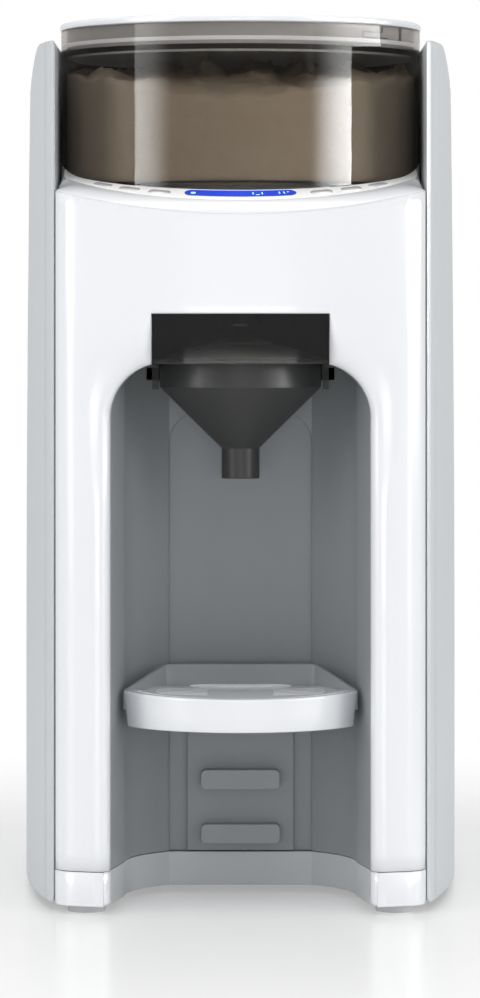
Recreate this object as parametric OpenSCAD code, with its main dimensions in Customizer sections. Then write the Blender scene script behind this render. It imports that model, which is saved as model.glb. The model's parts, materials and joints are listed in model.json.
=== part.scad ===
// Counter-top baby formula maker: it grinds powder from a round hopper into a rinsed funnel and
// fills a bottle that stands on a height-set tray. Front is -Y, up is +Z, the origin is on the
// counter under the middle of the machine. All sizes are in millimetres.

/* [Body] */
// Width across the two side covers at their widest
body_w = 194; // [190:0.5:198]
// Depth from the front of the fascia to the back of the water tank
body_d = 330; // [326:1:340]
// Height of the side covers' flat top
cover_top_z = 370; // [366:1:374]
// Width of the white fascia between the side covers
fascia_w = 157.4; // [156.5:0.1:157.8]
// Wall of the moulded covers
cover_wall = 2.5; // [1.8:0.1:3]
// Radius of the fascia's forward bow, seen from above
front_bow_r = 210; // [200:5:230]
// Radius of the side covers' bow, seen from above
side_bow_r = 630; // [580:10:800]
// Height of the seam between the base and the fascia
base_seam_z = 18.3; // [16:0.1:22]
// Gap left at the seams between the covers
seam_gap = 0.3; // [0.2:0.05:0.5]
// Where the side covers end and the water tank begins
rear_wall_y = 62; // [60:1:66]

/* [Feet] */
// Height of the feet under the base
foot_h = 3.5; // [3:0.1:5]
// Radius of a foot
foot_r = 8; // [6:0.5:9]
// Sideways place of the feet
foot_x = 65.5; // [60:0.5:67]
// Place of the front feet
foot_front_y = -139; // [-141:1:-134]
// Place of the rear feet
foot_rear_y = 140; // [130:1:145]

/* [Niche] */
// Half of the niche's width at its lip
niche_lip_x = 55; // [54:0.2:56]
// Radius of the niche's round back
niche_r = 50; // [48:0.5:51]
// Depth of the niche's centre of roundness
niche_centre_y = -119; // [-122:1:-117]
// Place of the niche's flat back
niche_back_y = -80; // [-82:0.5:-79]
// Height of the niche's ceiling
niche_top_z = 233; // [230:1:236]
// Radius of the arch's two corners
arch_r = 23; // [20:1:26]
// Radius of the soft edge where the columns turn into the niche
lip_r = 9; // [6:0.5:10]
// Half width of the channel in the niche's back
channel_x = 31.4; // [30:0.2:33]
// Depth of the channel
channel_d = 3; // [2:0.2:3.4]
// Radius of the channel's two upper corners
channel_corner_r = 14; // [10:1:20]
// Height at which the channel's top ends
channel_top_z = 211; // [205:1:215]

/* [Tray and ledges] */
// Width of the panel that carries the ledges
ledge_panel_w = 46.5; // [44:0.5:50]
// Width of a ledge
ledge_w = 34.4; // [32:0.2:36]
// Height of a ledge
ledge_h = 8.5; // [7:0.1:9.5]
// Radius of a ledge's corners
ledge_r = 2.2; // [1:0.2:4]
// How far a ledge stands out
ledge_out = 8; // [6:0.5:8.5]
// Height of the lowest ledge's middle
ledge_first_z = 26.5; // [25:0.5:28]
// Height from one ledge to the next
ledge_pitch = 23.7; // [22:0.1:24]
// Number of ledges
ledge_count = 3; // [2:1:3]
// Height of the tray's rim
tray_top_z = 92.8; // [90:0.2:96]
// Height of the tray's front face
tray_h = 15.4; // [13:0.2:17]
// Half width across the tray's two front corners
tray_corner_x = 50.6; // [48:0.2:50.8]
// Place of the tray's two front corners
tray_corner_y = -130; // [-134:1:-128]
// Place of the tray's front
tray_front_y = -164.5; // [-165:0.5:-160]
// Width of the tray's rim
tray_rim = 5; // [4:0.2:7]

/* [Funnel] */
// Radius of the funnel's bowl
funnel_r = 34.8; // [33:0.2:35]
// Place of the funnel's axis
funnel_y = -115; // [-116:0.5:-114]
// Wall of the funnel
funnel_wall = 1.8; // [1.4:0.1:2]
// Height of the funnel's upright rim
funnel_rim_h = 10.6; // [8:0.2:12]
// Outer radius of the funnel's spout
spout_r = 8.2; // [7:0.1:9]
// Height of the spout's mouth
spout_z = 183; // [178:1:190]
// Height at which the cone meets the spout
cone_low_z = 196; // [192:1:200]
// Half width of the smoked front plate
window_x = 37.2; // [36.5:0.1:37.6]
// Height of the smoked front plate's top
window_top_z = 253.5; // [251:0.5:256]

/* [Hopper and lid] */
// Outer radius of the hopper
hopper_r = 79; // [78:0.1:79.2]
// Place of the hopper's axis
hopper_y = -70; // [-71:0.5:-69]
// Wall of the hopper
hopper_wall = 2.4; // [1.8:0.1:2.6]
// Height of the lid's top
lid_top_z = 381; // [379:0.5:385]
// Thickness of the lid's rim
lid_rim_h = 3.2; // [2.6:0.1:4]
// How far the lid's skirt reaches into the hopper
lid_skirt_h = 12.5; // [10:0.5:15]
// Radius of the powder wheel
wheel_r = 62; // [58:1:66]
// Thickness of the powder wheel
wheel_h = 8; // [6:0.5:9]
// Number of pockets in the powder wheel
pocket_count = 8; // [6:1:9]
// Radius of a pocket
pocket_r = 7; // [5:0.5:7.5]

/* [Control ring] */
// Lean of the control ring towards the front, in degrees
ring_tilt = 11; // [9:0.5:12]
// Outer radius of the control ring
ring_r = 98.2; // [97.5:0.1:98.4]
// Width of the ring from the hopper's wall to the silver strip's outer edge
strip_w = 10.8; // [9.4:0.1:11.6]
// Height of the ring's upper edge on the hopper's axis
ring_z = 321.8; // [321:0.1:323]
// Fall of the ring from its inner to its outer edge
ring_fall = 7.75; // [7:0.05:8.5]
// Thickness of the silver strip
strip_t = 2; // [1.5:0.1:2.4]
// Length of an oval button
button_l = 10.2; // [8:0.2:11]
// Width of an oval button
button_w = 3.2; // [2.8:0.1:4.4]
// Travel of a button
button_travel = 0.8; // [0.5:0.1:1]
// Angles of the buttons each side of the middle, in degrees
button_angles = [23.5, 33.2, 43];
// Half of the angle that the display takes, in degrees
lcd_half_a = 16.4; // [14:0.2:17]

/* [Water tank] */
// Height of the tank's floor
tank_z = 52; // [50:1:56]
// Height of the tank's rim
tank_top_z = 350; // [330:1:356]
// Wall of the tank
tank_wall = 2.5; // [2:0.1:3]
// Thickness of the tank's lid
tank_lid_t = 3; // [2:0.2:4]
// Place of the tank's valve
valve_y = 114; // [110:1:118]
// Outer radius of the valve's collar
collar_r = 12; // [10:0.5:14]

/* [Drive] */
// Tooth size of the gears: pitch diameter over teeth
gear_module = 1.6; // [1.4:0.05:1.7]
// Teeth on the wheel's gear
gear_teeth = 40; // [38:2:40]
// Teeth on the motor's pinion
pinion_teeth = 12; // [10:2:14]
// Thickness of the gears
gear_h = 7; // [5:0.5:8]
// Radius of the wheel's shaft
shaft_r = 8; // [7:0.5:9]
// Radial clearance of a running fit
run_fit = 0.05; // [0.02:0.01:0.08]

/* [Cord gland] */
// Radius of the hole that the cord passes
gland_bore_r = 3.6; // [3:0.1:4.5]
// Sideways place of the gland
gland_x = -40; // [-45:1:-30]
// Height of the gland
gland_z = 34; // [32:1:38]

/* [Hidden] */
$fn = 96;

big_fn = 256;
eps = 0.01;
far = 500;
front_y = -body_d / 2;
back_y = body_d / 2;
half_w = body_w / 2;
fascia_x = fascia_w / 2;
cover_x = fascia_x + seam_gap;
inner_x = fascia_x - cover_wall - 2 * seam_gap;
mould_wall = 2.4;
small_gap = 0.3;
bow_centre_y = front_y + front_bow_r;
front_corner_r = 12;
cover_front_y = front_y + 20.5;
cover_corner_r = 12;
back_corner_r = 30;
shoulder_r = 66;
shoulder_z = 345;
cover_base_x = half_w;
shoulder_x = half_w - 4.3;
dock_inset = 3;
column_z = niche_top_z - arch_r;
liner_front_y = front_y + 17.5;
liner_wall = mould_wall;
ring_run = ring_r - (hopper_r + 2.7);
strip_slope = 0.3;
strip_r = hopper_r + strip_w;
bezel_slope = (ring_fall - strip_slope * (ring_run - ring_r + strip_r)) / (ring_r - strip_r);
ring_hole_r = hopper_r + 0.5;
seat_top_z = 296.5;
seat_t = 3;
seat_r = 78;
hopper_z = seat_top_z + small_gap;
floor_t = 3;
wheel_z = hopper_z + floor_t + small_gap;
slope_low = floor_t + small_gap + wheel_h;
slope_rise = 1.6;
lid_z = lid_top_z - lid_rim_h;
outlet_y = -118;
pocket_ring_r = hopper_y - outlet_y;
gear_r = gear_module * gear_teeth / 2;
pinion_r = gear_module * pinion_teeth / 2;
motor_y = hopper_y + gear_r + pinion_r;
gear_z = 276;
motor_z = 206;
case_floor_z = 270.5;
case_floor_t = 3;
dock_top_z = 254.5;
rail_z = 231;
dock_top = tank_z - 6;
heater_x = -45;
heater_y = 0;
heater_z = 76;
heater_h = 130;
board_x = 61;
hose_r = 4;
nozzle_y = -99.2;
nozzle_r = 3.4;
nozzle_line_z = 262;
seam_sag_r = 310;
seam_low_z = ring_z - ring_r * sin(ring_tilt) - ring_fall * cos(ring_tilt) + 0.3;
button_places = concat([for (i = [2 : -1 : 0]) -button_angles[i]], button_angles);
// Places of the feet
foot_places = [[-foot_x, foot_front_y], [foot_x, foot_front_y],
    [-foot_x, foot_rear_y], [foot_x, foot_rear_y]];
// Places of the screws that hold the bottom plate
screw_r = 1.5;
screw_places = [[-66, -118], [66, -118], [-68, 40], [68, 40], [-60, 120], [60, 120]];
plate_t = 2.5;
boss_r = 4;
dock_x = 41;
dock_back_y = funnel_y + funnel_r + 2.4;
dock_wall = 2;
flange_t = 2;
window_t = 3;
tongue_x = 30;
panel_t = 2.6;
ledge_front_y = niche_back_y + channel_d - panel_t - ledge_out;
strip_half_a = 72;
lcd_r0 = hopper_r + 3.6;
lcd_r1 = strip_r - 1.2;
board_r0 = hopper_r + 6;
board_r1 = board_r0 + 10;
board_top = -13.6;
seal_h = 2.4;
arm_a = 114;
seal_drop = 11.6;
dog_r = 5.5;
dog_h = 10;
// Half a tooth's turn, so that a pinion gap meets a gear tooth on the line of centres
pinion_phase = -90 + 180 / pinion_teeth;
tray_arc_r = (pow(tray_corner_x, 2) + pow(tray_corner_y - tray_front_y, 2))
    / (2 * (tray_corner_y - tray_front_y));
tray_arc_y = tray_front_y + tray_arc_r;
tray_back_y = ledge_front_y - 4.4;
hook_x = 21;
hook_ledge_z = ledge_first_z + ledge_pitch * (ledge_count - 1);
hook_low_z = hook_ledge_z - ledge_h / 2;
bracket_y = ledge_front_y - 1.4;
hook_back_y = niche_back_y + channel_d - panel_t - small_gap - 0.1;
valve_hole_r = 7;
cage_h = 16.3;
hinge_x = 40;
hinge_y = rear_wall_y + 4 + 6;
hinge_rise = 6;
hinge_z = tank_top_z + hinge_rise - 3;
pump_z = foot_h + plate_t + small_gap;
inlet_z = pump_z + 26;
hose_x = 6;
hose_wall = 1.6;
board_posts_y = [-36, 36];
board_posts_z = [66, 166];

// ---- outlines seen from above ----

// Fascia's outline: a wide forward bow with round corners, straight sides
module front_outline(inset = 0) {
    corner_x = fascia_x - front_corner_r;
    reach = front_bow_r - front_corner_r;
    corner_y = bow_centre_y - sqrt(reach * reach - corner_x * corner_x);
    bow_a = asin(corner_x / reach);
    wedge = front_bow_r * 1.2;
    intersection() {
        translate([0, bow_centre_y]) circle(front_bow_r - inset, $fn = big_fn);
        polygon([[0, bow_centre_y], [-wedge * sin(bow_a), bow_centre_y - wedge * cos(bow_a)],
            [wedge * sin(bow_a), bow_centre_y - wedge * cos(bow_a)]]);
    }
    for (s = [-1, 1]) translate([s * corner_x, corner_y]) circle(front_corner_r - inset);
    translate([inset - fascia_x, corner_y]) square([fascia_w - 2 * inset, far]);
}

// Whole body's outline between the side covers' two bows, with round corners
module side_outline(inset = 0) {
    difference() {
        intersection() {
            translate([half_w - side_bow_r, 0]) circle(side_bow_r - inset, $fn = big_fn);
            translate([side_bow_r - half_w, 0]) circle(side_bow_r - inset, $fn = big_fn);
            translate([-far / 2, cover_front_y + inset])
                square([far, back_y - cover_front_y - 2 * inset]);
        }
        for (s = [-1, 1]) {
            corner_cut(s, cover_front_y, cover_corner_r, -1, inset);
            corner_cut(s, back_y, back_corner_r, 1, inset);
        }
    }
}

// Waste outside one round corner of the body's outline; end is -1 in front, 1 behind
module corner_cut(s, edge_y, r, end, inset) {
    centre_y = edge_y - end * r;
    reach = side_bow_r - r;
    centre_x = half_w - side_bow_r + sqrt(reach * reach - centre_y * centre_y);
    translate([s * centre_x, centre_y]) difference() {
        scale([s, end]) translate([0, 0]) square(2 * r);
        circle(r - inset);
    }
}

// Side covers seen from the front: a slight taper, round shoulders and a flat top
module cover_profile(inset = 0) {
    polygon([[-cover_base_x + inset, foot_h], [cover_base_x - inset, foot_h],
        [shoulder_x - inset, shoulder_z], [-shoulder_x + inset, shoulder_z]]);
    intersection() {
        translate([shoulder_x - shoulder_r, shoulder_z]) circle(shoulder_r - inset, $fn = big_fn);
        translate([shoulder_r - shoulder_x, shoulder_z]) circle(shoulder_r - inset, $fn = big_fn);
        translate([-far / 2, shoulder_z - eps])
            square([far, cover_top_z - inset - shoulder_z + eps]);
    }
}

// Niche's outline: converging sides, a round back and a flat at the rear
module niche_outline(grow = 0) {
    intersection() {
        union() {
            translate([0, niche_centre_y]) circle(niche_r + grow);
            polygon([[-niche_lip_x - grow, front_y - 20], [niche_lip_x + grow, front_y - 20],
                [niche_lip_x + grow, liner_front_y], [niche_r + grow, niche_centre_y],
                [-niche_r - grow, niche_centre_y], [-niche_lip_x - grow, liner_front_y]]);
        }
        translate([-far / 2, -far]) square([far, far + niche_back_y + grow]);
    }
}

// Niche's opening seen from the front, with two round corners at the top
module arch_profile(grow = 0) {
    translate([-niche_lip_x - grow, -grow])
        square([2 * (niche_lip_x + grow), column_z + grow]);
    for (s = [-1, 1]) translate([s * (niche_lip_x - arch_r), column_z]) circle(arch_r + grow);
    translate([arch_r - niche_lip_x, 0])
        square([2 * (niche_lip_x - arch_r), niche_top_z + grow]);
}

// ---- helpers ----

// Turns a profile drawn in X and Z into a body along Y, from y0 to y1
module along_y(y0, y1) {
    translate([0, y1, 0]) rotate([90, 0, 0]) linear_extrude(y1 - y0) children();
}

// Places the control ring's own frame: its axis leans to the front on the hopper's axis
module ring_frame() {
    translate([0, hopper_y, ring_z]) rotate([ring_tilt, 0, 0]) children();
}

// Height of the ring's top surface at radius r, in the ring's frame
// The ring falls gently over the strip and more steeply over the bezel
function ring_top(r) = -(min(r, strip_r) - ring_r + ring_run) * strip_slope
    - max(r - strip_r, 0) * bezel_slope;

// Everything under the ring's top surface, lifted by rise, out to radius r
module under_ring(rise, r) {
    rotate_extrude($fn = 128)
        polygon([[0, -60], [r, -60], [r, ring_top(r) + rise], [strip_r, ring_top(strip_r) + rise],
            [20, ring_top(20) + rise],
            [0, ring_top(20) + rise]]);
}

// Sector of the ring's top layer from r0 to r1, depth d0 to d1 below the surface
module ring_sector(r0, r1, d0, d1, half_a) {
    rotate([0, 0, -90 - half_a]) rotate_extrude(angle = 2 * half_a, $fn = 128)
        polygon([[r0, ring_top(r0) - d1], [r1, ring_top(r1) - d1], [r1, ring_top(r1) - d0],
            [r0, ring_top(r0) - d0]]);
}

// Straight pipes with round corners through a list of points
module pipe(points, r) {
    for (i = [0 : len(points) - 2]) {
        d = points[i + 1] - points[i];
        l = norm(d);
        translate(points[i]) rotate([0, acos(d[2] / l), atan2(d[1], d[0])]) cylinder(h = l, r = r);
    }
    for (i = [1 : 1 : len(points) - 2]) translate(points[i]) sphere(r);
}

// A hose: the pipe with its bore
module hose(points, r, wall) {
    difference() {
        pipe(points, r);
        pipe(points, r - wall);
        for (end = [[points[0], points[1]], [points[len(points) - 1], points[len(points) - 2]]])
            let (d = (end[0] - end[1]) / norm(end[0] - end[1]))
                translate(end[0] - d * eps) rotate([0, acos(d[2]), atan2(d[1], d[0])])
                    cylinder(h = 1, r = r - wall);
    }
}

// A spur gear's outline with straight-sided teeth
module gear_outline(teeth, play) {
    r = gear_module * teeth / 2;
    top_r = r + gear_module * 0.9;
    root_r = r - gear_module * 1.15;
    step = 360 / teeth;
    root_half = step * (0.30 - play);
    pitch_half = step * (0.235 - play);
    top_half = step * (0.12 - play);
    circle(root_r);
    for (i = [0 : teeth - 1]) rotate(i * step)
        polygon([[root_r * 0.97 * cos(root_half), -root_r * 0.97 * sin(root_half)],
            [r * cos(pitch_half), -r * sin(pitch_half)],
            [top_r * cos(top_half), -top_r * sin(top_half)],
            [top_r * cos(top_half), top_r * sin(top_half)],
            [r * cos(pitch_half), r * sin(pitch_half)],
            [root_r * 0.97 * cos(root_half), root_r * 0.97 * sin(root_half)]]);
}

// An oval prism for a button and for the hole around it, at angle a on the strip
module button_prism(a, grow, z0, z1) {
    rotate([0, 0, a]) translate([0, -(strip_r + hopper_r + 2.7) / 2, z0])
        linear_extrude(z1 - z0) {
            straight = (button_l - button_w) / 2;
            square([2 * straight, button_w + 2 * grow], center = true);
            for (s = [-1, 1]) translate([s * straight, 0]) circle(button_w / 2 + grow, $fn = 48);
        }
}

// ---- base ----

// Base's outline: under the fascia in front, the body's full width behind the side covers
module base_outline(inset = 0) {
    intersection() {
        front_outline(inset);
        translate([-far / 2, -far]) square([far, far + rear_wall_y + 10]);
    }
    // skirt behind the side covers' front edges
    intersection() {
        side_outline(inset + cover_wall + 2 * seam_gap);
        translate([-far / 2, cover_front_y + 8 + inset]) square([far, rear_wall_y - cover_front_y]);
    }
    intersection() {
        side_outline(inset + dock_inset);
        translate([-far / 2, rear_wall_y + seam_gap + inset]) square([far, far]);
    }
}

module base() color("white") {
    wall_z = foot_h;
    difference() {
        translate([0, 0, wall_z]) linear_extrude(base_seam_z - seam_gap - wall_z)
            difference() {
                base_outline();
                niche_outline(mould_wall + small_gap);
            }
        translate([0, 0, wall_z - 1]) linear_extrude(far) difference() {
            base_outline(cover_wall);
            niche_outline(mould_wall + small_gap + cover_wall);
        }
    }
    for (p = screw_places) translate([p[0], p[1], foot_h + plate_t + small_gap]) difference() {
        cylinder(h = base_seam_z - seam_gap - foot_h - plate_t - small_gap, r = boss_r);
        translate([0, 0, -1]) cylinder(h = 9, r = screw_r + run_fit, $fn = 48);
    }
    // ribs from the bosses to the side walls
    intersection() {
        for (p = screw_places) scale([sign(p[0]), 1, 1])
            translate([abs(p[0]) + 2, p[1] - 1, foot_h + plate_t + small_gap + 2]) cube([far, 2, 8]);
        linear_extrude(far) base_outline(1);
    }
}

module bottom_plate() color("lightgrey") {
    difference() {
        translate([0, 0, foot_h]) linear_extrude(plate_t) difference() {
            base_outline(cover_wall + small_gap);
            niche_outline(mould_wall + cover_wall + 2 * small_gap);
        }
        for (p = screw_places) translate([p[0], p[1], foot_h - 1])
            cylinder(h = plate_t + 2, r = screw_r + 0.2, $fn = 48);
        for (p = foot_places) translate([p[0], p[1], foot_h - 1])
            cylinder(h = plate_t + 2, r = 2.5 + run_fit, $fn = 48);
    }
}

module feet() color("gainsboro") {
    for (p = foot_places) translate([p[0], p[1], 0]) {
        cylinder(h = foot_h, r = foot_r);
        cylinder(h = foot_h + plate_t, r = 2.5, $fn = 48);
    }
}

module base_niche_band() color("silver") {
    translate([0, 0, foot_h]) linear_extrude(base_seam_z - seam_gap - foot_h)
        intersection() {
            difference() {
                niche_outline(mould_wall);
                niche_outline();
            }
            translate([-far / 2, liner_front_y]) square(far);
        }
}

// ---- front ----

// The fascia's volume above the columns: its top is a shallow dip under the control ring
module upper_fascia() {
    shell_end_y = -128;
    difference() {
        translate([0, 0, column_z - eps]) linear_extrude(seam_low_z + 20 - column_z)
            intersection() {
                front_outline();
                translate([-far / 2, -far]) square([far, far + shell_end_y]);
            }
        along_y(-far, far) seam_side(far, 0);
    }
}

// Height of the seam between the fascia and the control ring, at x from the middle
// Everything above (end = far) or below (end = -far) the fascia's curved upper edge
module seam_side(end, rise) {
    polygon(concat([[-far, end], [-far, seam_height(-90) + rise]],
        [for (x = [-90 : 9 : 90]) [x, seam_height(x) + rise]],
        [[far, seam_height(90) + rise], [far, end]]));
}
function seam_height(x) = seam_low_z + x * x / (2 * seam_sag_r);

module front_shell() color("white") {
    return_y = liner_front_y - small_gap;
    // upper part: bowed shell up to the seam under the control ring
    difference() {
        upper_fascia();
        translate([0, 0, column_z - 1]) linear_extrude(far) front_outline(cover_wall);
        along_y(-far, 0) arch_profile();
        along_y(-far, 0) translate([-window_x - small_gap, niche_top_z - 10])
            square([2 * (window_x + small_gap), window_top_z + small_gap - niche_top_z + 10]);
    }
    // wall that turns back along the arch
    intersection() {
        along_y(front_y, return_y) difference() {
            arch_profile(cover_wall);
            arch_profile();
            translate([-far / 2, -far]) square([far, far + column_z - eps]);
            translate([-window_x - small_gap, 0]) square([2 * (window_x + small_gap), far]);
        }
        translate([0, 0, column_z - 1]) linear_extrude(far) front_outline(1);
    }
    // columns, with a soft edge to the niche
    translate([0, 0, base_seam_z]) linear_extrude(column_z - base_seam_z)
        for (s = [-1, 1]) scale([s, 1]) difference() {
            column_outline(0);
            column_outline(cover_wall);
            translate([0, return_y]) square([niche_lip_x + 8, far]);
        }
}

// Outline of one column of the fascia, from the niche's edge to the side cover
module column_outline(inset) {
    column_end_y = -130;
    difference() {
        intersection() {
            front_outline(inset);
            translate([niche_lip_x + inset, -far]) square([far, far + column_end_y + 2 * inset]);
        }
        difference() {
            translate([niche_lip_x - 1, -far]) square([lip_r + 1, far + front_y + 19]);
            translate([niche_lip_x + lip_r, front_y + 19]) circle(lip_r - inset);
        }
    }
}

// Channel in the niche's back, with round upper corners
module channel_profile(grow) {
    x = channel_x - channel_corner_r;
    low = base_seam_z - (grow > 0 ? 0 : 1);
    top = channel_top_z - channel_corner_r;
    for (s = [-1, 1]) translate([s * x, top]) circle(channel_corner_r + grow);
    translate([-x, low]) square([2 * x, channel_top_z + grow - low]);
    translate([-channel_x - grow, low]) square([2 * (channel_x + grow), top - low]);
}

module niche_liner() color("slategray") {
    difference() {
        union() {
            intersection() {
                translate([0, 0, base_seam_z]) linear_extrude(far) difference() {
                    niche_outline(liner_wall);
                    translate([-far / 2, -far]) square([far, far + liner_front_y]);
                }
                along_y(-far, 0) arch_profile(liner_wall);
            }
            along_y(niche_back_y + 0.5, niche_back_y + channel_d + liner_wall) channel_profile(liner_wall);
        }
        intersection() {
            translate([0, 0, base_seam_z - 1]) linear_extrude(far) niche_outline();
            along_y(-far, 0) arch_profile();
        }
        along_y(niche_back_y - 5, niche_back_y + channel_d) channel_profile(0);
        // way up for the funnel and its dock
        translate([-dock_x, front_y, niche_top_z - 8]) cube([2 * dock_x, far, 30]);
    }
}

module ledge_panel() color("slategray") {
    panel_top = ledge_first_z + ledge_pitch * ledge_count;
    panel_y = niche_back_y + channel_d - small_gap / 3;
    translate([-ledge_panel_w / 2, panel_y - panel_t, base_seam_z + small_gap])
        cube([ledge_panel_w, panel_t, panel_top - base_seam_z]);
    for (i = [0 : ledge_count - 1])
        along_y(ledge_front_y, panel_y - 1)
            translate([0, ledge_first_z + i * ledge_pitch]) ledge_profile(0);
}

// Front view of a ledge: a flat top and a bowed underside, with round ends
module ledge_profile(grow) {
    x = ledge_w / 2 - ledge_r;
    z = ledge_h / 2 - ledge_r;
    for (s = [-1, 1], m = [-1, 1]) translate([s * x, m * z]) circle(ledge_r + grow, $fn = 48);
    square([2 * x, ledge_h + 2 * grow], center = true);
    square([ledge_w + 2 * grow, 2 * z], center = true);
}

// ---- side, rear and top covers ----

module side_cover(s) {
    difference() {
        scale([s, 1, 1]) {
            difference() {
                cover_body(0, cover_x);
                cover_body(cover_wall, cover_x - 2);
            }
            // inner wall beside the hopper
            intersection() {
                translate([cover_x, -far, seam_low_z])
                    cube([cover_wall, far + rear_wall_y - cover_wall - small_gap, far]);
                cover_body(0, cover_x - 1);
            }
        }
        translate([0, hopper_y, 200]) cylinder(h = far, r = hopper_r + 0.6, $fn = 128);
        ring_frame() difference() {
            under_ring(0.6, ring_r + 30);
            for (m = [-1, 1]) translate([m > 0 ? cover_x + 1 : -far - cover_x - 1, -far, -far])
                cube([far, 2 * far, 2 * far]);
        }
    }
}

// The volume inside a side cover's outer faces
module cover_body(inset, from_x) {
    intersection() {
        linear_extrude(far) intersection() {
            side_outline(inset);
            translate([from_x, -far]) square([far, far + rear_wall_y]);
        }
        along_y(-far, far) cover_profile(inset);
    }
}

module left_side_cover() color("lightgray") side_cover(-1);
module right_side_cover() color("lightgray") side_cover(1);

module rear_cover() color("whitesmoke") {
    edge = cover_wall + small_gap + 0.1;
    difference() {
        intersection() {
            along_y(rear_wall_y - cover_wall, rear_wall_y) intersection() {
                cover_profile(edge);
                translate([-far / 2, base_seam_z + small_gap]) square([far, far]);
            }
            linear_extrude(far) side_outline(edge);
        }
        hose_notch();
    }
}

// Where the tank's hose passes the rear cover and the dock
module hose_notch() {
    translate([hose_x - hose_r - 1, rear_wall_y - 5, base_seam_z - 1])
        cube([2 * hose_r + 2, 12, inlet_z + hose_r + 2 - base_seam_z]);
}

module top_cover() color("whitesmoke") {
    plate_z = cover_top_z - cover_wall - 3.5;
    well_r = hopper_r + 0.8;
    well_low_z = seat_top_z + 3.5;
    half = cover_x - small_gap;
    difference() {
        translate([-half, hopper_y + 16, plate_z])
            cube([2 * half, rear_wall_y - cover_wall - small_gap - hopper_y - 16, cover_wall]);
        translate([0, hopper_y, 0]) cylinder(h = far, r = well_r, $fn = 128);
    }
    // well behind the hopper
    difference() {
        intersection() {
            translate([0, hopper_y, well_low_z])
                cylinder(h = plate_z - well_low_z + eps, r = well_r + 2, $fn = 128);
            translate([-inner_x, hopper_y + 55, well_low_z]) cube([2 * inner_x, 60, far]);
        }
        translate([0, hopper_y, 0]) cylinder(h = far, r = well_r, $fn = 128);
        ring_frame() under_ring(small_gap, ring_r + 30);
    }
}

// ---- control ring ----

module control_deck() color("white") {
    inner_r = ring_hole_r;
    difference() {
        intersection() {
            ring_frame() rotate_extrude($fn = 128) polygon([
                [inner_r - 8, ring_top(inner_r - 8) - strip_t - 4.2],
                [ring_r - 2.5, ring_top(ring_r) - 3], [ring_r - 2.5, -18], [ring_r, -18],
                [ring_r, ring_top(ring_r)], [strip_r, ring_top(strip_r)],
                [inner_r - 8, ring_top(inner_r - 8)]]);
            linear_extrude(far) intersection() {
                front_outline();
                translate([-far / 2, -far]) square([far, far + hopper_y - 12]);
            }
        }
        translate([0, hopper_y, 0]) cylinder(h = far, r = ring_hole_r, $fn = 128);
        // below the seam the skirt stays inside the fascia's wall
        intersection() {
            along_y(-far, 0) seam_side(-far, seam_gap);
            linear_extrude(far) difference() {
                translate([-far / 2, -far]) square([far, far]);
                front_outline(cover_wall + small_gap);
            }
        }
        // recess for the silver strip
        ring_frame() ring_sector(40, strip_r, -3, strip_t + 0.1, strip_half_a + 1);
        // wells for the buttons and the display
        ring_frame() for (a = button_places) button_prism(a, small_gap, -30, 10);
        ring_frame() ring_sector(hopper_r + 4, strip_r - 1.5, 0, 20, lcd_half_a - 1);
    }
}

module control_strip() color("silver") intersection() {
    linear_extrude(far) front_outline(0.4);
    control_strip_ring();
}

module control_strip_ring() difference() {
    ring_frame() difference() {
        ring_sector(40, strip_r - 0.1, 0, strip_t, strip_half_a);
        for (a = button_places) button_prism(a, small_gap, -30, 10);
        ring_sector(lcd_r0 - 0.2, lcd_r1 + 0.2, -1, 20, lcd_half_a + 0.15);
    }
    translate([0, hopper_y, 0]) cylinder(h = far, r = ring_hole_r, $fn = 128);
}

module lcd_window() color("blue") ring_frame() {
    ring_sector(lcd_r0, lcd_r1, 0, strip_t, lcd_half_a);
}

module lcd_module() color("darkslategray") ring_frame() {
    ring_sector(hopper_r + 4.5, strip_r - 2, strip_t + 0.2, strip_t + 3.4, lcd_half_a - 1.4);
}

module control_board() color("seagreen") ring_frame() {
    rotate([0, 0, -90 - 52]) rotate_extrude(angle = 104, $fn = 128)
        translate([board_r0, board_top - 1.6]) square([board_r1 - board_r0, 1.6]);
    // posts that carry the display module
    for (a = [-10, 10]) rotate([0, 0, a]) translate([0, -86.5, board_top - eps])
        cylinder(h = ring_top(86.5) - strip_t - 3.9 - board_top, r = 1.2, $fn = 24);
}

module button_switches() color("dimgray") ring_frame()
    for (a = button_places) rotate([0, 0, a]) translate([-3, -(board_r0 + 4.5), board_top]) {
        cube([6, 4.4, 3]);
        translate([3, 3.6, 3 - eps]) cylinder(h = 1.2, r = 0.8, $fn = 24);
    }

module button(i) color("silver") {
    a = button_places[i];
    stem_end = board_top + 3 + 1.2 + button_travel + 0.15;
    ring_frame() intersection() {
        button_prism(a, 0, stem_end, 10);
        under_ring(0.5, ring_r + 5);
    }
}

module button_1() button(0);
module button_2() button(1);
module button_3() button(2);
module button_4() button(3);
module button_5() button(4);
module button_6() button(5);

// ---- hopper, lid and powder wheel ----

module hopper() color([0.35, 0.33, 0.32, 0.4]) translate([0, hopper_y, 0]) difference() {
    union() {
        translate([0, 0, hopper_z]) cylinder(h = lid_z - small_gap - hopper_z, r = hopper_r, $fn = 128);
    }
    difference() {
        translate([0, 0, hopper_z + floor_t]) cylinder(h = far, r = hopper_r - hopper_wall, $fn = 128);
        // sloped ring that brings the powder to the wheel
        translate([0, 0, hopper_z]) rotate_extrude($fn = 128)
            polygon([[wheel_r + 1, 0], [hopper_r, 0], [hopper_r, slope_low + slope_rise], [wheel_r + 1, slope_low]]);
    }
    translate([0, 0, hopper_z - 1]) cylinder(h = floor_t + 2, r = shaft_r + run_fit);
    translate([0, outlet_y - hopper_y, hopper_z - 1]) cylinder(h = floor_t + 2, r = pocket_r);
}

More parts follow.
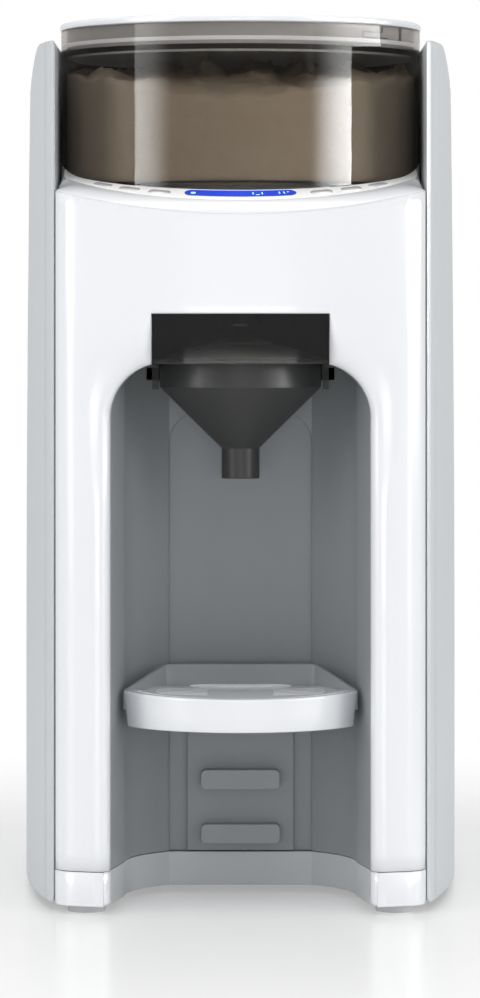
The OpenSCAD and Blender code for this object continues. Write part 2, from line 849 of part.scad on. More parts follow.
module lid() color("white") translate([0, hopper_y, 0]) {
    skirt_r = hopper_r - hopper_wall - small_gap;
    translate([0, 0, lid_z]) cylinder(h = lid_rim_h, r = hopper_r + 0.5, $fn = 128);
    difference() {
        translate([0, 0, lid_z - lid_skirt_h]) cylinder(h = lid_skirt_h + eps, r = skirt_r, $fn = 128);
        translate([0, 0, lid_z - lid_skirt_h - 1]) cylinder(h = lid_skirt_h + 1, r = skirt_r - 2, $fn = 128);
        translate([0, 0, lid_z - seal_drop]) rotate_extrude($fn = 128)
            translate([skirt_r - 1, 0]) square([2, seal_h]);
    }
}

module lid_seal() color("dimgray") translate([0, hopper_y, lid_z - seal_drop + 0.05])
    rotate_extrude($fn = 128)
        translate([hopper_r - hopper_wall - small_gap - 0.95, 0]) square([1.15, seal_h - 0.1]);

module powder_wheel() color("ivory") translate([0, hopper_y, 0]) difference() {
    union() {
        translate([0, 0, wheel_z]) cylinder(h = wheel_h, r = wheel_r, $fn = 128);
        translate([0, 0, wheel_z]) cylinder(h = wheel_h + 14, r = shaft_r + 2);
        translate([0, 0, gear_z + gear_h + 5]) cylinder(h = wheel_z - gear_z - gear_h - 5 + eps, r = shaft_r);
    }
    for (i = [0 : pocket_count - 1]) rotate([0, 0, (i + 0.5) * 360 / pocket_count])
        translate([0, -pocket_ring_r, wheel_z - 1]) cylinder(h = wheel_h + 2, r = pocket_r);
    // hexagonal socket for the drive, and the stirrer's cross pin hole
    translate([0, 0, gear_z + gear_h + 4]) cylinder(h = dog_h + 1.6, r = dog_r + 0.35, $fn = 6);
}

module stirrer() color("gainsboro") translate([0, hopper_y, wheel_z + wheel_h]) {
    hub_r = shaft_r + 2 + run_fit;
    difference() {
        union() {
            translate([0, 0, 4]) cylinder(h = 8, r = hub_r + 3);
            for (a = [arm_a, arm_a + 180]) rotate([0, 0, a]) translate([0, -3, 4]) cube([58, 6, 5]);
            rotate([0, 0, arm_a]) translate([50, -6, 4])
                cube([4, 12, lid_z - 4 - wheel_z - wheel_h - 4]);
            rotate([0, 0, arm_a + 180]) translate([52, -5, 4]) cube([4, 10, 24]);
        }
        translate([0, 0, 3]) cylinder(h = 10, r = hub_r);
    }
}

module wheel_scraper() color("gainsboro") translate([0, hopper_y, wheel_z + wheel_h + small_gap])
    difference() {
        rotate([0, 0, -90 - 20]) rotate_extrude(angle = 40, $fn = 128)
            translate([pocket_ring_r - 14, 0]) square([wheel_r + 0.8 - pocket_ring_r + 14, 2.4]);
        translate([0, 0, -1]) cylinder(h = 5, r = shaft_r + 6);
    }

module hopper_seat() color("darkgray") {
    translate([0, 0, seat_top_z - seat_t]) linear_extrude(seat_t) difference() {
        union() {
            translate([0, hopper_y]) circle(seat_r, $fn = 128);
            translate([-inner_x, hopper_y + 30]) square([2 * inner_x, rear_wall_y - 4 - hopper_y - 30]);
        }
        translate([0, hopper_y]) circle(shaft_r + 0.6);
        translate([0, outlet_y]) circle(pocket_r);
    }
}

module powder_chute() color("gainsboro") translate([0, outlet_y, 0]) difference() {
    top = seat_top_z - seat_t - 0.1;
    union() {
        translate([0, 0, dock_top_z - 5]) cylinder(h = top - dock_top_z + 5, r = pocket_r + 1.6);
        translate([0, 0, top - 2]) cylinder(h = 2, r = pocket_r + 3.4);
    }
    translate([0, 0, dock_top_z - 6]) cylinder(h = 60, r = pocket_r);
}

// ---- drive ----

module drive_gear() color("ivory") translate([0, hopper_y, 0]) {
    translate([0, 0, gear_z]) linear_extrude(gear_h) gear_outline(gear_teeth, 0);
    translate([0, 0, gear_z + gear_h - eps]) cylinder(h = dog_h + 4, r = dog_r, $fn = 6);
    translate([0, 0, case_floor_z - 4]) cylinder(h = gear_z - case_floor_z + 4 + eps, r = 5);
    translate([0, 0, case_floor_z + case_floor_t + small_gap])
        cylinder(h = gear_z - case_floor_z - case_floor_t - small_gap + eps, r = 8);
}

module motor_pinion() color("lightsteelblue") translate([0, motor_y, 0]) {
    translate([0, 0, gear_z]) linear_extrude(gear_h) rotate(pinion_phase)
        gear_outline(pinion_teeth, 0.005);
    translate([0, 0, case_floor_z - 8]) cylinder(h = gear_z - case_floor_z + 8 + eps, r = 3);
}

module gear_motor() color("gray") translate([0, motor_y, 0]) difference() {
    union() {
        translate([0, 0, motor_z]) cylinder(h = case_floor_z - motor_z - 0.1, r = 17);
        translate([0, 0, motor_z - 4]) cylinder(h = 4 + eps, r = 5);
    }
    translate([0, 0, case_floor_z - 9]) cylinder(h = 20, r = 3 + run_fit);
}

module gear_case() color("darkgray") {
    difference() {
        union() {
            translate([0, 0, case_floor_z]) linear_extrude(case_floor_t) case_outline(0);
            translate([0, hopper_y, case_floor_z - 5]) cylinder(h = 6, r = 9);
            translate([0, 0, case_floor_z]) linear_extrude(seat_top_z - seat_t - 0.1 - case_floor_z)
                difference() {
                    case_outline(0);
                    case_outline(-2);
                }
        }
        translate([0, hopper_y, case_floor_z - 6]) cylinder(h = 20, r = 5 + run_fit);
        translate([0, motor_y, case_floor_z - 6]) cylinder(h = 20, r = 4);
    }
}

// Outline of the gear case round both gears
module case_outline(grow) {
    tip = gear_module * 0.9;
    translate([0, hopper_y]) circle(gear_r + tip + 3 + grow);
    translate([0, motor_y]) circle(pinion_r + tip + 8 + grow);
}

// ---- funnel ----

module funnel() color([0.2, 0.2, 0.21]) translate([0, funnel_y, 0]) difference() {
    r1 = funnel_r;
    w = funnel_wall;
    union() {
        rotate_extrude($fn = 128) polygon([[0, spout_z], [spout_r, spout_z], [spout_r, cone_low_z],
            [r1, niche_top_z - funnel_rim_h], [r1, niche_top_z - 0.4], [0, niche_top_z - 0.4]]);
        translate([-window_x + 0.4, -funnel_r, niche_top_z - 0.4])
            cube([2 * (window_x - 0.4), 2 * funnel_r, flange_t]);
        // tongue that carries the smoked front plate
        translate([0, -funnel_y, niche_top_z - 0.4]) linear_extrude(flange_t) intersection() {
            front_outline(window_t + 0.05);
            translate([-tongue_x, front_y]) square([2 * tongue_x, funnel_y - funnel_r - front_y + 3]);
        }
    }
    translate([0, 0, -eps]) rotate_extrude($fn = 128) polygon([[0, spout_z - 1], [spout_r - w, spout_z - 1],
        [spout_r - w, cone_low_z + 0.4], [r1 - w, niche_top_z - funnel_rim_h + 0.4], [r1 - w, far],
        [0, far]]);
}

module funnel_cover() color([0.25, 0.25, 0.26]) translate([0, funnel_y, niche_top_z + 1.8]) {
    rise = 7;
    cap_r = (funnel_r * funnel_r + rise * rise) / (2 * rise);
    difference() {
        union() {
            intersection() {
                translate([0, 0, rise - cap_r]) sphere(cap_r, $fn = 200);
                cylinder(h = rise + 1, r = funnel_r);
            }
            cylinder(h = 10.5, r = 18);
        }
        intersection() {
            translate([0, 0, rise - cap_r - 2]) sphere(cap_r, $fn = 200);
            translate([0, 0, -1]) cylinder(h = rise + 1, r = funnel_r - 2);
        }
        translate([0, 0, -1]) cylinder(h = 20, r = 16);
    }
}

module funnel_window() color([0.15, 0.15, 0.17]) intersection() {
    linear_extrude(far) difference() {
        front_outline();
        front_outline(window_t);
    }
    along_y(-far, -100) {
        translate([-window_x, niche_top_z]) square([2 * window_x, window_top_z - niche_top_z]);
        for (s = [-1, 1]) translate([s * (window_x - 1.4) - 1.4, niche_top_z - 11])
            square([2.8, 12]);
    }
}

module funnel_dock() color("dimgray") {
    dock_front_y = liner_front_y + 0.2;
    l = dock_back_y - dock_front_y;
    difference() {
        translate([-dock_x + small_gap, dock_front_y, rail_z])
            cube([2 * (dock_x - small_gap), l, dock_top_z + dock_wall - rail_z]);
        translate([-dock_x + small_gap + dock_wall, dock_front_y - 1, rail_z - 1])
            cube([2 * (dock_x - small_gap - dock_wall), l + 1 - dock_wall, dock_top_z - rail_z + 1]);
        translate([0, outlet_y, dock_top_z - 1]) cylinder(h = 9, r = pocket_r + 1.9);
        translate([0, nozzle_y, dock_top_z - 1]) cylinder(h = 9, r = nozzle_r + small_gap);
    }
    // rails that carry the funnel's flange
    for (s = [-1, 1]) scale([s, 1, 1])
        translate([funnel_r + 0.4, dock_front_y, rail_z])
            cube([dock_x - small_gap - funnel_r - 0.4 - dock_wall + eps, l - dock_wall,
                niche_top_z - 0.7 - rail_z]);
}

// ---- tray ----

// Tray's outline: a bowed front between two corners, a round back that follows the niche
module tray_outline(inset) {
    intersection() {
        union() {
            intersection() {
                translate([0, tray_arc_y]) circle(tray_arc_r - inset);
                translate([-tray_corner_x + inset, -far])
                    square([2 * (tray_corner_x - inset), far + niche_centre_y]);
            }
            intersection() {
                translate([0, niche_centre_y]) circle(niche_r - 3.6 - inset);
                translate([-far / 2, niche_centre_y - 20])
                    square([far, tray_back_y - inset - niche_centre_y + 20]);
            }
        }
        niche_outline(-2 * small_gap - inset);
    }
}

module tray() color("white") {
    dish_r = pow(tray_corner_x, 2) / 2.4;
    difference() {
        translate([0, 0, tray_top_z - tray_h]) linear_extrude(tray_h) tray_outline(0);
        // crown of the rim: a little lower in the middle
        along_y(-far, 0) translate([0, tray_top_z - 1.2 + dish_r]) circle(dish_r, $fn = big_fn);
        translate([0, 0, tray_top_z - 6]) linear_extrude(20) tray_outline(tray_rim);
        translate([0, 0, tray_top_z - tray_h - 1]) linear_extrude(tray_h - 8) tray_outline(2.4);
    }
}

module tray_grate() color("whitesmoke") {
    top = tray_top_z - 2;
    slit_w = 2.2;
    difference() {
        translate([0, 0, tray_top_z - 5.7]) linear_extrude(top - tray_top_z + 5.7)
            tray_outline(tray_rim + small_gap);
        translate([0, 0, tray_top_z - 6]) linear_extrude(2) tray_outline(tray_rim + 3);
        for (s = [-1, 1], i = [0 : 4])
            translate([s * 25 - 11, niche_centre_y - 18 + i * 7, tray_top_z - 10])
                cube([22, slit_w, 20]);
    }
}

module tray_bracket() color("slategray") {
    wing_t = 2.6;
    low_z = tray_top_z - tray_h + 0.6;
    slope = 0.2;
    difference() {
        union() {
            // wall that follows the niche behind the tray
            intersection() {
                translate([0, 0, low_z]) linear_extrude(60) intersection() {
                    difference() {
                        intersection() {
                            translate([0, niche_centre_y]) circle(niche_r - 0.8);
                            translate([-far / 2, tray_corner_y + 2]) square(far);
                        }
                        tray_outline(-small_gap);
                    }
                    translate([-far / 2, -far]) square([far, far + bracket_y]);
                }
                translate([0, tray_corner_y, tray_top_z - 0.8]) rotate([atan(slope), 0, 0])
                    translate([-far / 2, -far / 2, -far]) cube([far, far, far]);
            }
            // block that hooks over a ledge
            translate([-hook_x, tray_back_y + small_gap, hook_low_z])
                cube([2 * hook_x, hook_back_y - tray_back_y - small_gap, tray_top_z + 6 - hook_low_z]);
        }
        along_y(tray_back_y + 2, 0)
            translate([0, hook_ledge_z]) {
                ledge_profile(small_gap);
                translate([-ledge_w / 2 - small_gap, -far]) square([ledge_w + 2 * small_gap, far]);
            }
    }
}

// ---- water tank ----

// Tank's outline from above
module tank_outline(inset) {
    intersection() {
        side_outline(inset);
        translate([-far / 2, rear_wall_y + 4 + inset]) square([far, far]);
    }
}

module water_tank() color([0.6, 0.7, 0.8, 0.4]) {
    difference() {
        translate([0, 0, tank_z]) linear_extrude(tank_top_z - tank_z) tank_outline(0);
        translate([0, 0, tank_z + 3]) linear_extrude(far) tank_outline(tank_wall);
        translate([0, valve_y, tank_z - 1]) cylinder(h = 6, r = valve_hole_r);
    }
    // collar under the floor that plugs into the dock
    translate([0, valve_y, tank_z - 10]) difference() {
        cylinder(h = 10 + eps, r = collar_r);
        translate([0, 0, -1]) cylinder(h = 12, r = valve_hole_r);
    }
    // ledge in front of the lid
    translate([0, 0, tank_top_z - 8]) linear_extrude(8) intersection() {
        tank_outline(0);
        translate([-far / 2, 0]) square([far, hinge_y - 1.3]);
    }
    // cage over the valve's spring
    translate([0, valve_y, tank_z + 3 - eps]) {
        for (s = [-1, 1]) translate([s * 11.5 - 1.5, -2, 0]) cube([3, 4, cage_h]);
        difference() {
            translate([-13, -4, cage_h - 2.4]) cube([26, 8, 2.4]);
            cylinder(h = far, r = 2.8 + run_fit, $fn = 48);
        }
    }
    // ears for the lid's hinge
    for (s = [-1, 1]) translate([s * hinge_x - 3, rear_wall_y + 4 + tank_wall - eps, tank_top_z - 12])
        difference() {
            cube([6, hinge_y + 3 - rear_wall_y - 4 - tank_wall + eps, 12 + hinge_rise]);
            translate([-1, hinge_y - rear_wall_y - 4 - tank_wall, 12 + hinge_rise - 3])
                rotate([0, 90, 0]) cylinder(h = 8, r = 1.5 + run_fit, $fn = 48);
        }
}

module tank_lid() color("whitesmoke") {
    lid_z0 = tank_top_z + small_gap;
    difference() {
        translate([0, 0, lid_z0]) linear_extrude(tank_lid_t) difference() {
            tank_outline(0.6);
            translate([-far / 2, 0]) square([far, hinge_y - 1]);
            for (s = [-1, 1]) translate([s * hinge_x - 3.4, hinge_y - 20]) square([6.8, 25.5]);
        }
        translate([0, 0, lid_z0 + tank_lid_t - 1]) linear_extrude(3) translate([-far / 2, back_y - 16]) square([far, 1]);
    }
    // rim that locates the lid in the tank
    translate([0, 0, tank_top_z - 3]) linear_extrude(3.4) difference() {
        intersection() {
            tank_outline(tank_wall + 0.8);
            translate([-far / 2, hinge_y + 12]) square(far);
        }
        tank_outline(tank_wall + 2.8);
        translate([-far / 2, hinge_y]) square([far, 14]);
    }
    // knuckles and pins of the hinge, one pair each side of an ear
    for (s = [-1, 1]) translate([s * hinge_x, hinge_y, hinge_z]) rotate([0, 90, 0]) {
        for (m = [-1, 1]) translate([0, 0, m * 5.9 - 2.5]) cylinder(h = 5, r = 3, $fn = 48);
        translate([0, 0, -8.4]) cylinder(h = 16.8, r = 1.5, $fn = 48);
    }
}

module tank_valve() color("white") translate([0, valve_y, 0]) {
    translate([0, 0, tank_z + 3 + 1.4]) cylinder(h = 2, r = valve_hole_r + 2.5);
    translate([0, 0, tank_z - 6]) cylinder(h = 11, r = 2.5);
    translate([0, 0, tank_z + 3 + 3.4 - eps]) cylinder(h = 12, r = 2.5);
}

module valve_seal() color("black") translate([0, valve_y, tank_z + 3 + 0.1]) difference() {
    cylinder(h = 1.2, r = valve_hole_r + 2.2);
    translate([0, 0, -1]) cylinder(h = 4, r = valve_hole_r - 0.5);
}

module valve_spring() color("gray") translate([0, valve_y, tank_z + 3 + 3.6]) difference() {
    cylinder(h = 10, r = 5);
    translate([0, 0, -1]) cylinder(h = 12, r = 3.6);
}

module tank_dock() color("white") {
    difference() {
        translate([0, 0, base_seam_z]) linear_extrude(dock_top - base_seam_z) intersection() {
            side_outline(dock_inset);
            translate([-far / 2, rear_wall_y + seam_gap]) square(far);
        }
        translate([0, 0, base_seam_z - 1]) linear_extrude(dock_top - base_seam_z - 2)
            intersection() {
                side_outline(dock_inset + cover_wall);
                translate([-far / 2, rear_wall_y + seam_gap + cover_wall]) square(far);
            }
        translate([0, valve_y, 0]) cylinder(h = far, r = collar_r + 2);
        translate([gland_x, back_y - dock_inset - 10, gland_z]) rotate([-90, 0, 0]) cylinder(h = 20, r = 7.3);
        hose_notch();
    }
    // cup that takes the tank's collar, with the pin that lifts the valve
    translate([0, valve_y, dock_top - 9]) difference() {
        cylinder(h = 9, r = collar_r + 2 + eps);
        translate([0, 0, 3]) cylinder(h = 9, r = collar_r + 0.3);
        translate([hose_x, 0, -1]) cylinder(h = 9, r = 2.5);
    }
    translate([0, valve_y, dock_top - 7]) cylinder(h = tank_z - 6.3 - dock_top + 7, r = 2);
    // pads that the tank stands on
    for (s = [-1, 1], y = [rear_wall_y + 20, back_y - 30])
        translate([s * 50, y, dock_top - eps]) cylinder(h = tank_z - dock_top - small_gap, r = 6);
}

module dock_seal() color("black") translate([0, valve_y, tank_z - 10]) {
    translate([0, 0, -1.8]) difference() {
        cylinder(h = 1.6, r = collar_r);
        translate([0, 0, -1]) cylinder(h = 5, r = valve_hole_r + 2);
    }
}

// ---- water line ----

module pump() color("gray") translate([heater_x, heater_y, 0]) {
    translate([0, 0, pump_z]) cylinder(h = 40, r = 15);
    translate([0, 0, pump_z + 40 - eps]) cylinder(h = 10, r = 2.2);
    translate([0, 13, inlet_z]) rotate([-90, 0, 0]) cylinder(h = 12, r = 2.2);
}

module heater() color("silver") translate([heater_x, heater_y, 0]) {
    translate([0, 0, heater_z]) cylinder(h = heater_h, r = 16);
    translate([0, 0, heater_z - 10]) cylinder(h = 10 + eps, r = 2.2);
    translate([0, 0, heater_z + heater_h - eps]) cylinder(h = 10, r = 2.2);
    // strap that fastens it to the frame
    translate([-heater_x - 70.8 , -8, 120]) cube([70.8 + heater_x - 14, 16, 20]);
}

module thermostat() color("black") translate([heater_x + 16.1, heater_y, 160])
    rotate([0, 90, 0]) cylinder(h = 6, r = 7);

module inlet_hose() color("whitesmoke") hose([[hose_x, valve_y, dock_top - 9.1],
    [hose_x, valve_y, inlet_z], [hose_x, heater_y + 40, inlet_z], [heater_x, heater_y + 40, inlet_z],
    [heater_x, heater_y + 16, inlet_z]], hose_r, hose_wall);

module outlet_hose() color("whitesmoke") hose([[heater_x, heater_y, pump_z + 41],
    [heater_x, heater_y, heater_z - 0.2]], hose_r, hose_wall);

module nozzle_hose() color("whitesmoke") hose([[heater_x, heater_y, heater_z + heater_h + 1],
    [heater_x, heater_y, nozzle_line_z], [heater_x, nozzle_y, nozzle_line_z],
    [0, nozzle_y, nozzle_line_z], [0, nozzle_y, dock_top_z - 6]], nozzle_r, 1);

// ---- inner frame and electrics ----

module chassis() color("darkgray") {
    side_x = 71;
    t = 2.5;
    shelf_z = 186;
    y0 = hopper_y + 2;
    y1 = rear_wall_y - cover_wall - small_gap;
    top = seat_top_z - seat_t - 0.1;
    for (s = [-1, 1]) scale([s, 1, 1]) difference() {
        translate([side_x, y0, base_seam_z]) cube([t, y1 - y0, top - base_seam_z]);
        translate([side_x - 1, y0 + 18, shelf_z]) cube([5, y1 - y0 - 36, 80]);
    }
    for (z = [base_seam_z, shelf_z, top - 14])
        translate([-side_x - eps, y1 - t, z]) cube([2 * side_x + 2 * eps, t, z == base_seam_z ? 6 : 14]);
    for (y = board_posts_y, z = board_posts_z)
        translate([board_x + 1.7, y, z]) rotate([0, 90, 0]) cylinder(h = side_x - board_x - 1.7 + eps, r = 3);
    for (s = [-1, 1]) translate([s * (side_x + 1.2) - 4, y1 - 14, foot_h + plate_t + 0.1])
        cube([8, 8, base_seam_z - foot_h - plate_t + 2]);
}

module power_board() color("darkgreen") {
    difference() {
        translate([board_x, -42, 60]) cube([1.6, 84, 112]);
        for (y = board_posts_y, z = board_posts_z)
            translate([board_x - 1, y, z]) rotate([0, 90, 0]) cylinder(h = 4, r = 1.6, $fn = 48);
    }
    translate([board_x - 26, -20, 80]) cube([26 + eps, 34, 30]);
    translate([board_x - 14, 10, 128]) rotate([0, 90, 0]) cylinder(h = 14 + eps, r = 9);
    translate([board_x - 10, -30, 126]) cube([10 + eps, 24, 12]);
}

module board_screws() color("silver")
    for (y = board_posts_y, z = board_posts_z) translate([board_x, y, z]) rotate([0, -90, 0]) {
        translate([0, 0, -1.6]) cylinder(h = 1.7, r = 1.5, $fn = 48);
        translate([0, 0, 0.05]) cylinder(h = 2, r = 3, $fn = 48);
    }

module case_screws() color("silver") for (p = screw_places) translate([p[0], p[1], foot_h]) {
    translate([0, 0, -1.4]) cylinder(h = 1.3, r = 3, $fn = 48);
    translate([0, 0, -0.2]) cylinder(h = 9, r = screw_r, $fn = 48);
}

module cord_gland() color("black")
    translate([gland_x, back_y - dock_inset, gland_z]) rotate([-90, 0, 0]) difference() {
        union() {
            translate([0, 0, 0.1]) cylinder(h = 2.9, r = 10);
            translate([0, 0, -8]) cylinder(h = 8.2, r = 7.2);
            translate([0, 0, -8]) cylinder(h = 3, r = 9);
        }
        translate([0, 0, -9]) cylinder(h = 20, r = gland_bore_r);
    }

base();
bottom_plate();
feet();
base_niche_band();
front_shell();
niche_liner();
ledge_panel();
left_side_cover();
right_side_cover();
rear_cover();
top_cover();
control_deck();
control_strip();
lcd_window();
lcd_module();
control_board();
button_switches();
button_1();
button_2();
button_3();
button_4();
button_5();
button_6();
hopper();
lid();
lid_seal();
powder_wheel();
stirrer();
wheel_scraper();
hopper_seat();
powder_chute();
drive_gear();
motor_pinion();
gear_motor();
gear_case();
funnel();
funnel_cover();
funnel_window();
funnel_dock();
tray();
tray_bracket();
tray_grate();
water_tank();
tank_lid();
tank_valve();
valve_spring();
valve_seal();
tank_dock();
dock_seal();
pump();
heater();
thermostat();
inlet_hose();
outlet_hose();
nozzle_hose();
chassis();
power_board();
cord_gland();
case_screws();
board_screws();
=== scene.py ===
import json
import math

import bpy
import numpy as np
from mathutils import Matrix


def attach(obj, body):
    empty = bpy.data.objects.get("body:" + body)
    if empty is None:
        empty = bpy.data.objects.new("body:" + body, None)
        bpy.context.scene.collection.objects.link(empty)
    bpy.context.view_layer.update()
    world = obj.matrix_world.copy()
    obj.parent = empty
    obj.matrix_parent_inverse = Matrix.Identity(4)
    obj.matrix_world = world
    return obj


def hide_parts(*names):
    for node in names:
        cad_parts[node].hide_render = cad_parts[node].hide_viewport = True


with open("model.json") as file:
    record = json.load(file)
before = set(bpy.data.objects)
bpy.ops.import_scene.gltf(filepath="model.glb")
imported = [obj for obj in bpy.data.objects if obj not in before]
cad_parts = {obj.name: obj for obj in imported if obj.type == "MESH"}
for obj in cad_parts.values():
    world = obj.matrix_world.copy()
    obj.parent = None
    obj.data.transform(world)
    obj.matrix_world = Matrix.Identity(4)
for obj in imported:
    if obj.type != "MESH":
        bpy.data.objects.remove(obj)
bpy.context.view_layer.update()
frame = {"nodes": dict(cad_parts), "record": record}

mm = 0.001
print("frame loaded:", len(frame["nodes"]), "nodes")


# The camera fitted to the photograph, and the strengths of the world, the lamps and the floor
view = {"distance": 2.055, "height": 0.251, "lens": 162.4, "shiftX": -0.0005, "shiftY": -0.179}
light = {"room": 0.6, "glossy": 0.7, "key": 8.1, "fill": 7.0, "top": 7.8, "low": 2.4, "floor": 0.9,
         "floorRoughness": 0.16}


# Any new object goes into the scene's own collection
def addObject(name, data):
    made = bpy.data.objects.new(name, data)
    bpy.context.scene.collection.objects.link(made)
    return made


camera = bpy.data.cameras.new("camera")
camera.sensor_fit = "VERTICAL"
camera.sensor_height = 36
camera.lens = view["lens"]
camera.shift_x, camera.shift_y = view["shiftX"], view["shiftY"]
cameraObject = addObject("camera", camera)
cameraObject.location = (0, -view["distance"], view["height"])
cameraObject.rotation_euler = (math.pi / 2, 0, 0)
bpy.context.scene.camera = cameraObject
bpy.context.scene.view_settings.view_transform = "Standard"


# A socket with arithmetic: an expression on it adds the Math nodes that it needs
class Wire:
    def __init__(self, tree, socket):
        self.tree, self.socket = tree, socket

    # Any node: its type, its settings first, then the values or links of its sockets
    def node(self, kind, settings=None, inputs=None, out=0):
        made = self.tree.nodes.new("ShaderNode" + kind)
        for key, value in (settings or {}).items():
            setattr(made, key, value)
        for key, value in (inputs or {}).items():
            if isinstance(value, Wire):
                self.tree.links.new(value.socket, made.inputs[key])
            else:
                made.inputs[key].default_value = value
        return Wire(self.tree, made.outputs[out])

    def math(self, operation, a, b=0.0):
        return self.node("Math", {"operation": operation}, {0: a, 1: b})

    def noise(self, place, scale, detail=2.0):
        return self.node("TexNoise", None, {"Vector": place, "Scale": scale, "Detail": detail})

    # A value eased from first to last while the input runs from start to end
    def ease(self, value, start, end, first, last):
        return self.node("MapRange", {"interpolation_type": "SMOOTHSTEP"}, {
            "Value": value, "From Min": start, "From Max": end, "To Min": first, "To Max": last})

    def __add__(self, other):
        return self.math("ADD", self, other)

    def __radd__(self, other):
        return self.math("ADD", other, self)

    def __sub__(self, other):
        return self.math("SUBTRACT", self, other)

    def __rsub__(self, other):
        return self.math("SUBTRACT", other, self)

    def __mul__(self, other):
        return self.math("MULTIPLY", self, other)

    def __rmul__(self, other):
        return self.math("MULTIPLY", other, self)

    def __lt__(self, other):
        return self.math("LESS_THAN", self, other)

    def __abs__(self):
        return self.math("ABSOLUTE", self)


# A material with an empty node tree
def newMaterial(name):
    made = bpy.data.materials.new(name)
    made.use_nodes = True
    made.node_tree.nodes.clear()
    return made, Wire(made.node_tree, None)


# The shader becomes the surface
def setSurface(made, shader):
    output = made.node_tree.nodes.new("ShaderNodeOutputMaterial")
    made.node_tree.links.new(shader.socket, output.inputs["Surface"])
    return made


# Two colours mixed by a wire between 0 and 1
def mixColour(wire, factor, a, b):
    return wire.node("Mix", {"data_type": "RGBA"}, {0: factor, 6: a, 7: b}, out=2)


# A colour with full alpha
def rgba(colour):
    return (*colour, 1.0)


# The world is white to the camera, and lights the object at the room's level and reflections at another
def worldBackdrop():
    world = bpy.data.worlds.new("studio")
    bpy.context.scene.world = world
    world.use_nodes = True
    world.node_tree.nodes.clear()
    w = Wire(world.node_tree, None)
    through = w.node("LightPath", out="Is Transmission Ray")
    seen = w.math("MAXIMUM", w.node("LightPath", out="Is Camera Ray"), through)
    gloss = w.node("LightPath", out="Is Glossy Ray")
    strength = seen * (1 - light["room"]) + gloss * (light["glossy"] - light["room"]) + light["room"]
    shader = w.node("Background", None, {"Color": (1, 1, 1, 1), "Strength": strength})
    output = world.node_tree.nodes.new("ShaderNodeOutputWorld")
    world.node_tree.links.new(shader.socket, output.inputs["Surface"])


# A rectangular lamp at a place, turned to face its aim
def softbox(name, place, aim, width, height, power):
    lamp = bpy.data.lights.new(name, "AREA")
    lamp.shape, lamp.size, lamp.size_y, lamp.energy = "RECTANGLE", width, height, power
    box = addObject(name, lamp)
    toward = np.array(aim, float) - np.array(place, float)
    yaw = math.atan2(toward[0], -toward[1])
    pitch = math.atan2(math.hypot(toward[0], toward[1]), -toward[2])
    box.location, box.rotation_euler = place, (pitch, 0, yaw + math.pi)


# Floor: pale and glossy near the machine, and it turns to plain white away from it
def floorStage():
    mesh = bpy.data.meshes.new("floor")
    mesh.from_pydata([(-4, -3, 0), (4, -3, 0), (4, 6, 0), (-4, 6, 0)], [], [(0, 1, 2, 3)])
    floor = addObject("floor", mesh)
    made, w = newMaterial("floorGloss")
    place = w.node("TexCoord", out="Object")
    speck = w.noise(place, 60.0, 3.0)
    gloss = w.node("BsdfPrincipled", None, {
        "Base Color": (light["floor"],) * 3 + (1,), "IOR": 1.3,
        "Roughness": speck * 0.05 + light["floorRoughness"]})
    white = w.node("Emission", None, {"Color": (1, 1, 1, 1), "Strength": 1.0})
    seen = w.node("LightPath", out="Is Camera Ray")
    away = w.node("VectorMath", {"operation": "DISTANCE"}, {0: place, 1: (0, -0.02, 0)}, out=1)
    fade = w.ease(away, 0.16, 0.62, 0.35, 1.0)
    setSurface(made, w.node("MixShader", None, {0: seen * fade, 1: gloss, 2: white}))
    mesh.materials.append(made)


# The cards' cylinder, in metres
card = {"radius": 1.4, "centreY": -0.07}


# A bright card that only reflections see: a strip of a cylinder round the hopper's axis, from one
# azimuth to another in degrees, with 0 towards the camera, and its light fades from full to nothing
def glossCard(name, full, faint, bottom, top, strength):
    a = np.radians(np.linspace(full, faint, 24))
    band = np.stack([card["radius"] * np.sin(a), card["centreY"] - card["radius"] * np.cos(a)], 1)
    points = [(x, y, z) for z in (bottom, top) for x, y in band.tolist()]
    mesh = bpy.data.meshes.new(name)
    mesh.from_pydata(points, [], [(i, i + 1, i + 25, i + 24) for i in range(23)])
    sheet = addObject(name, mesh)
    made, w = newMaterial(name)
    x = w.node("SeparateXYZ", None, {"Vector": w.node("TexCoord", out="Object")})
    level = w.ease(x, float(band[0, 0]), float(band[-1, 0]), 1.0, 0.0)
    glow = mixColour(w, level, (0, 0, 0, 1), (1, 1, 1, 1))
    mesh.materials.append(setSurface(made, w.node("Emission", None, {"Color": glow, "Strength": strength})))
    sheet.visible_camera = sheet.visible_diffuse = False
    sheet.visible_transmission = sheet.visible_shadow = False


worldBackdrop()
glossCard("cardRight", 98, 42, 0.33, 0.425, 120)
glossCard("cardRightHigh", 98, 46, 0.425, 0.52, 40)
glossCard("cardLeft", -69, -42, 0.33, 0.425, 50)
glossCard("cardLeftHigh", -69, -42, 0.425, 0.52, 18)
softbox("keyLeft", (-1.5, -1.2, 0.75), (0, 0, 0.2), 0.7, 1.5, light["key"])
softbox("fillRight", (1.5, -1.3, 0.6), (0, 0, 0.2), 0.6, 1.4, light["fill"])
softbox("topSoft", (0, -0.3, 1.5), (0, -0.05, 0.2), 1.2, 1.0, light["top"])
softbox("lowSoft", (0, -1.9, 0.12), (0, 0, 0.06), 0.9, 0.2, light["low"])
floorStage()
print("camera, floor and light set")


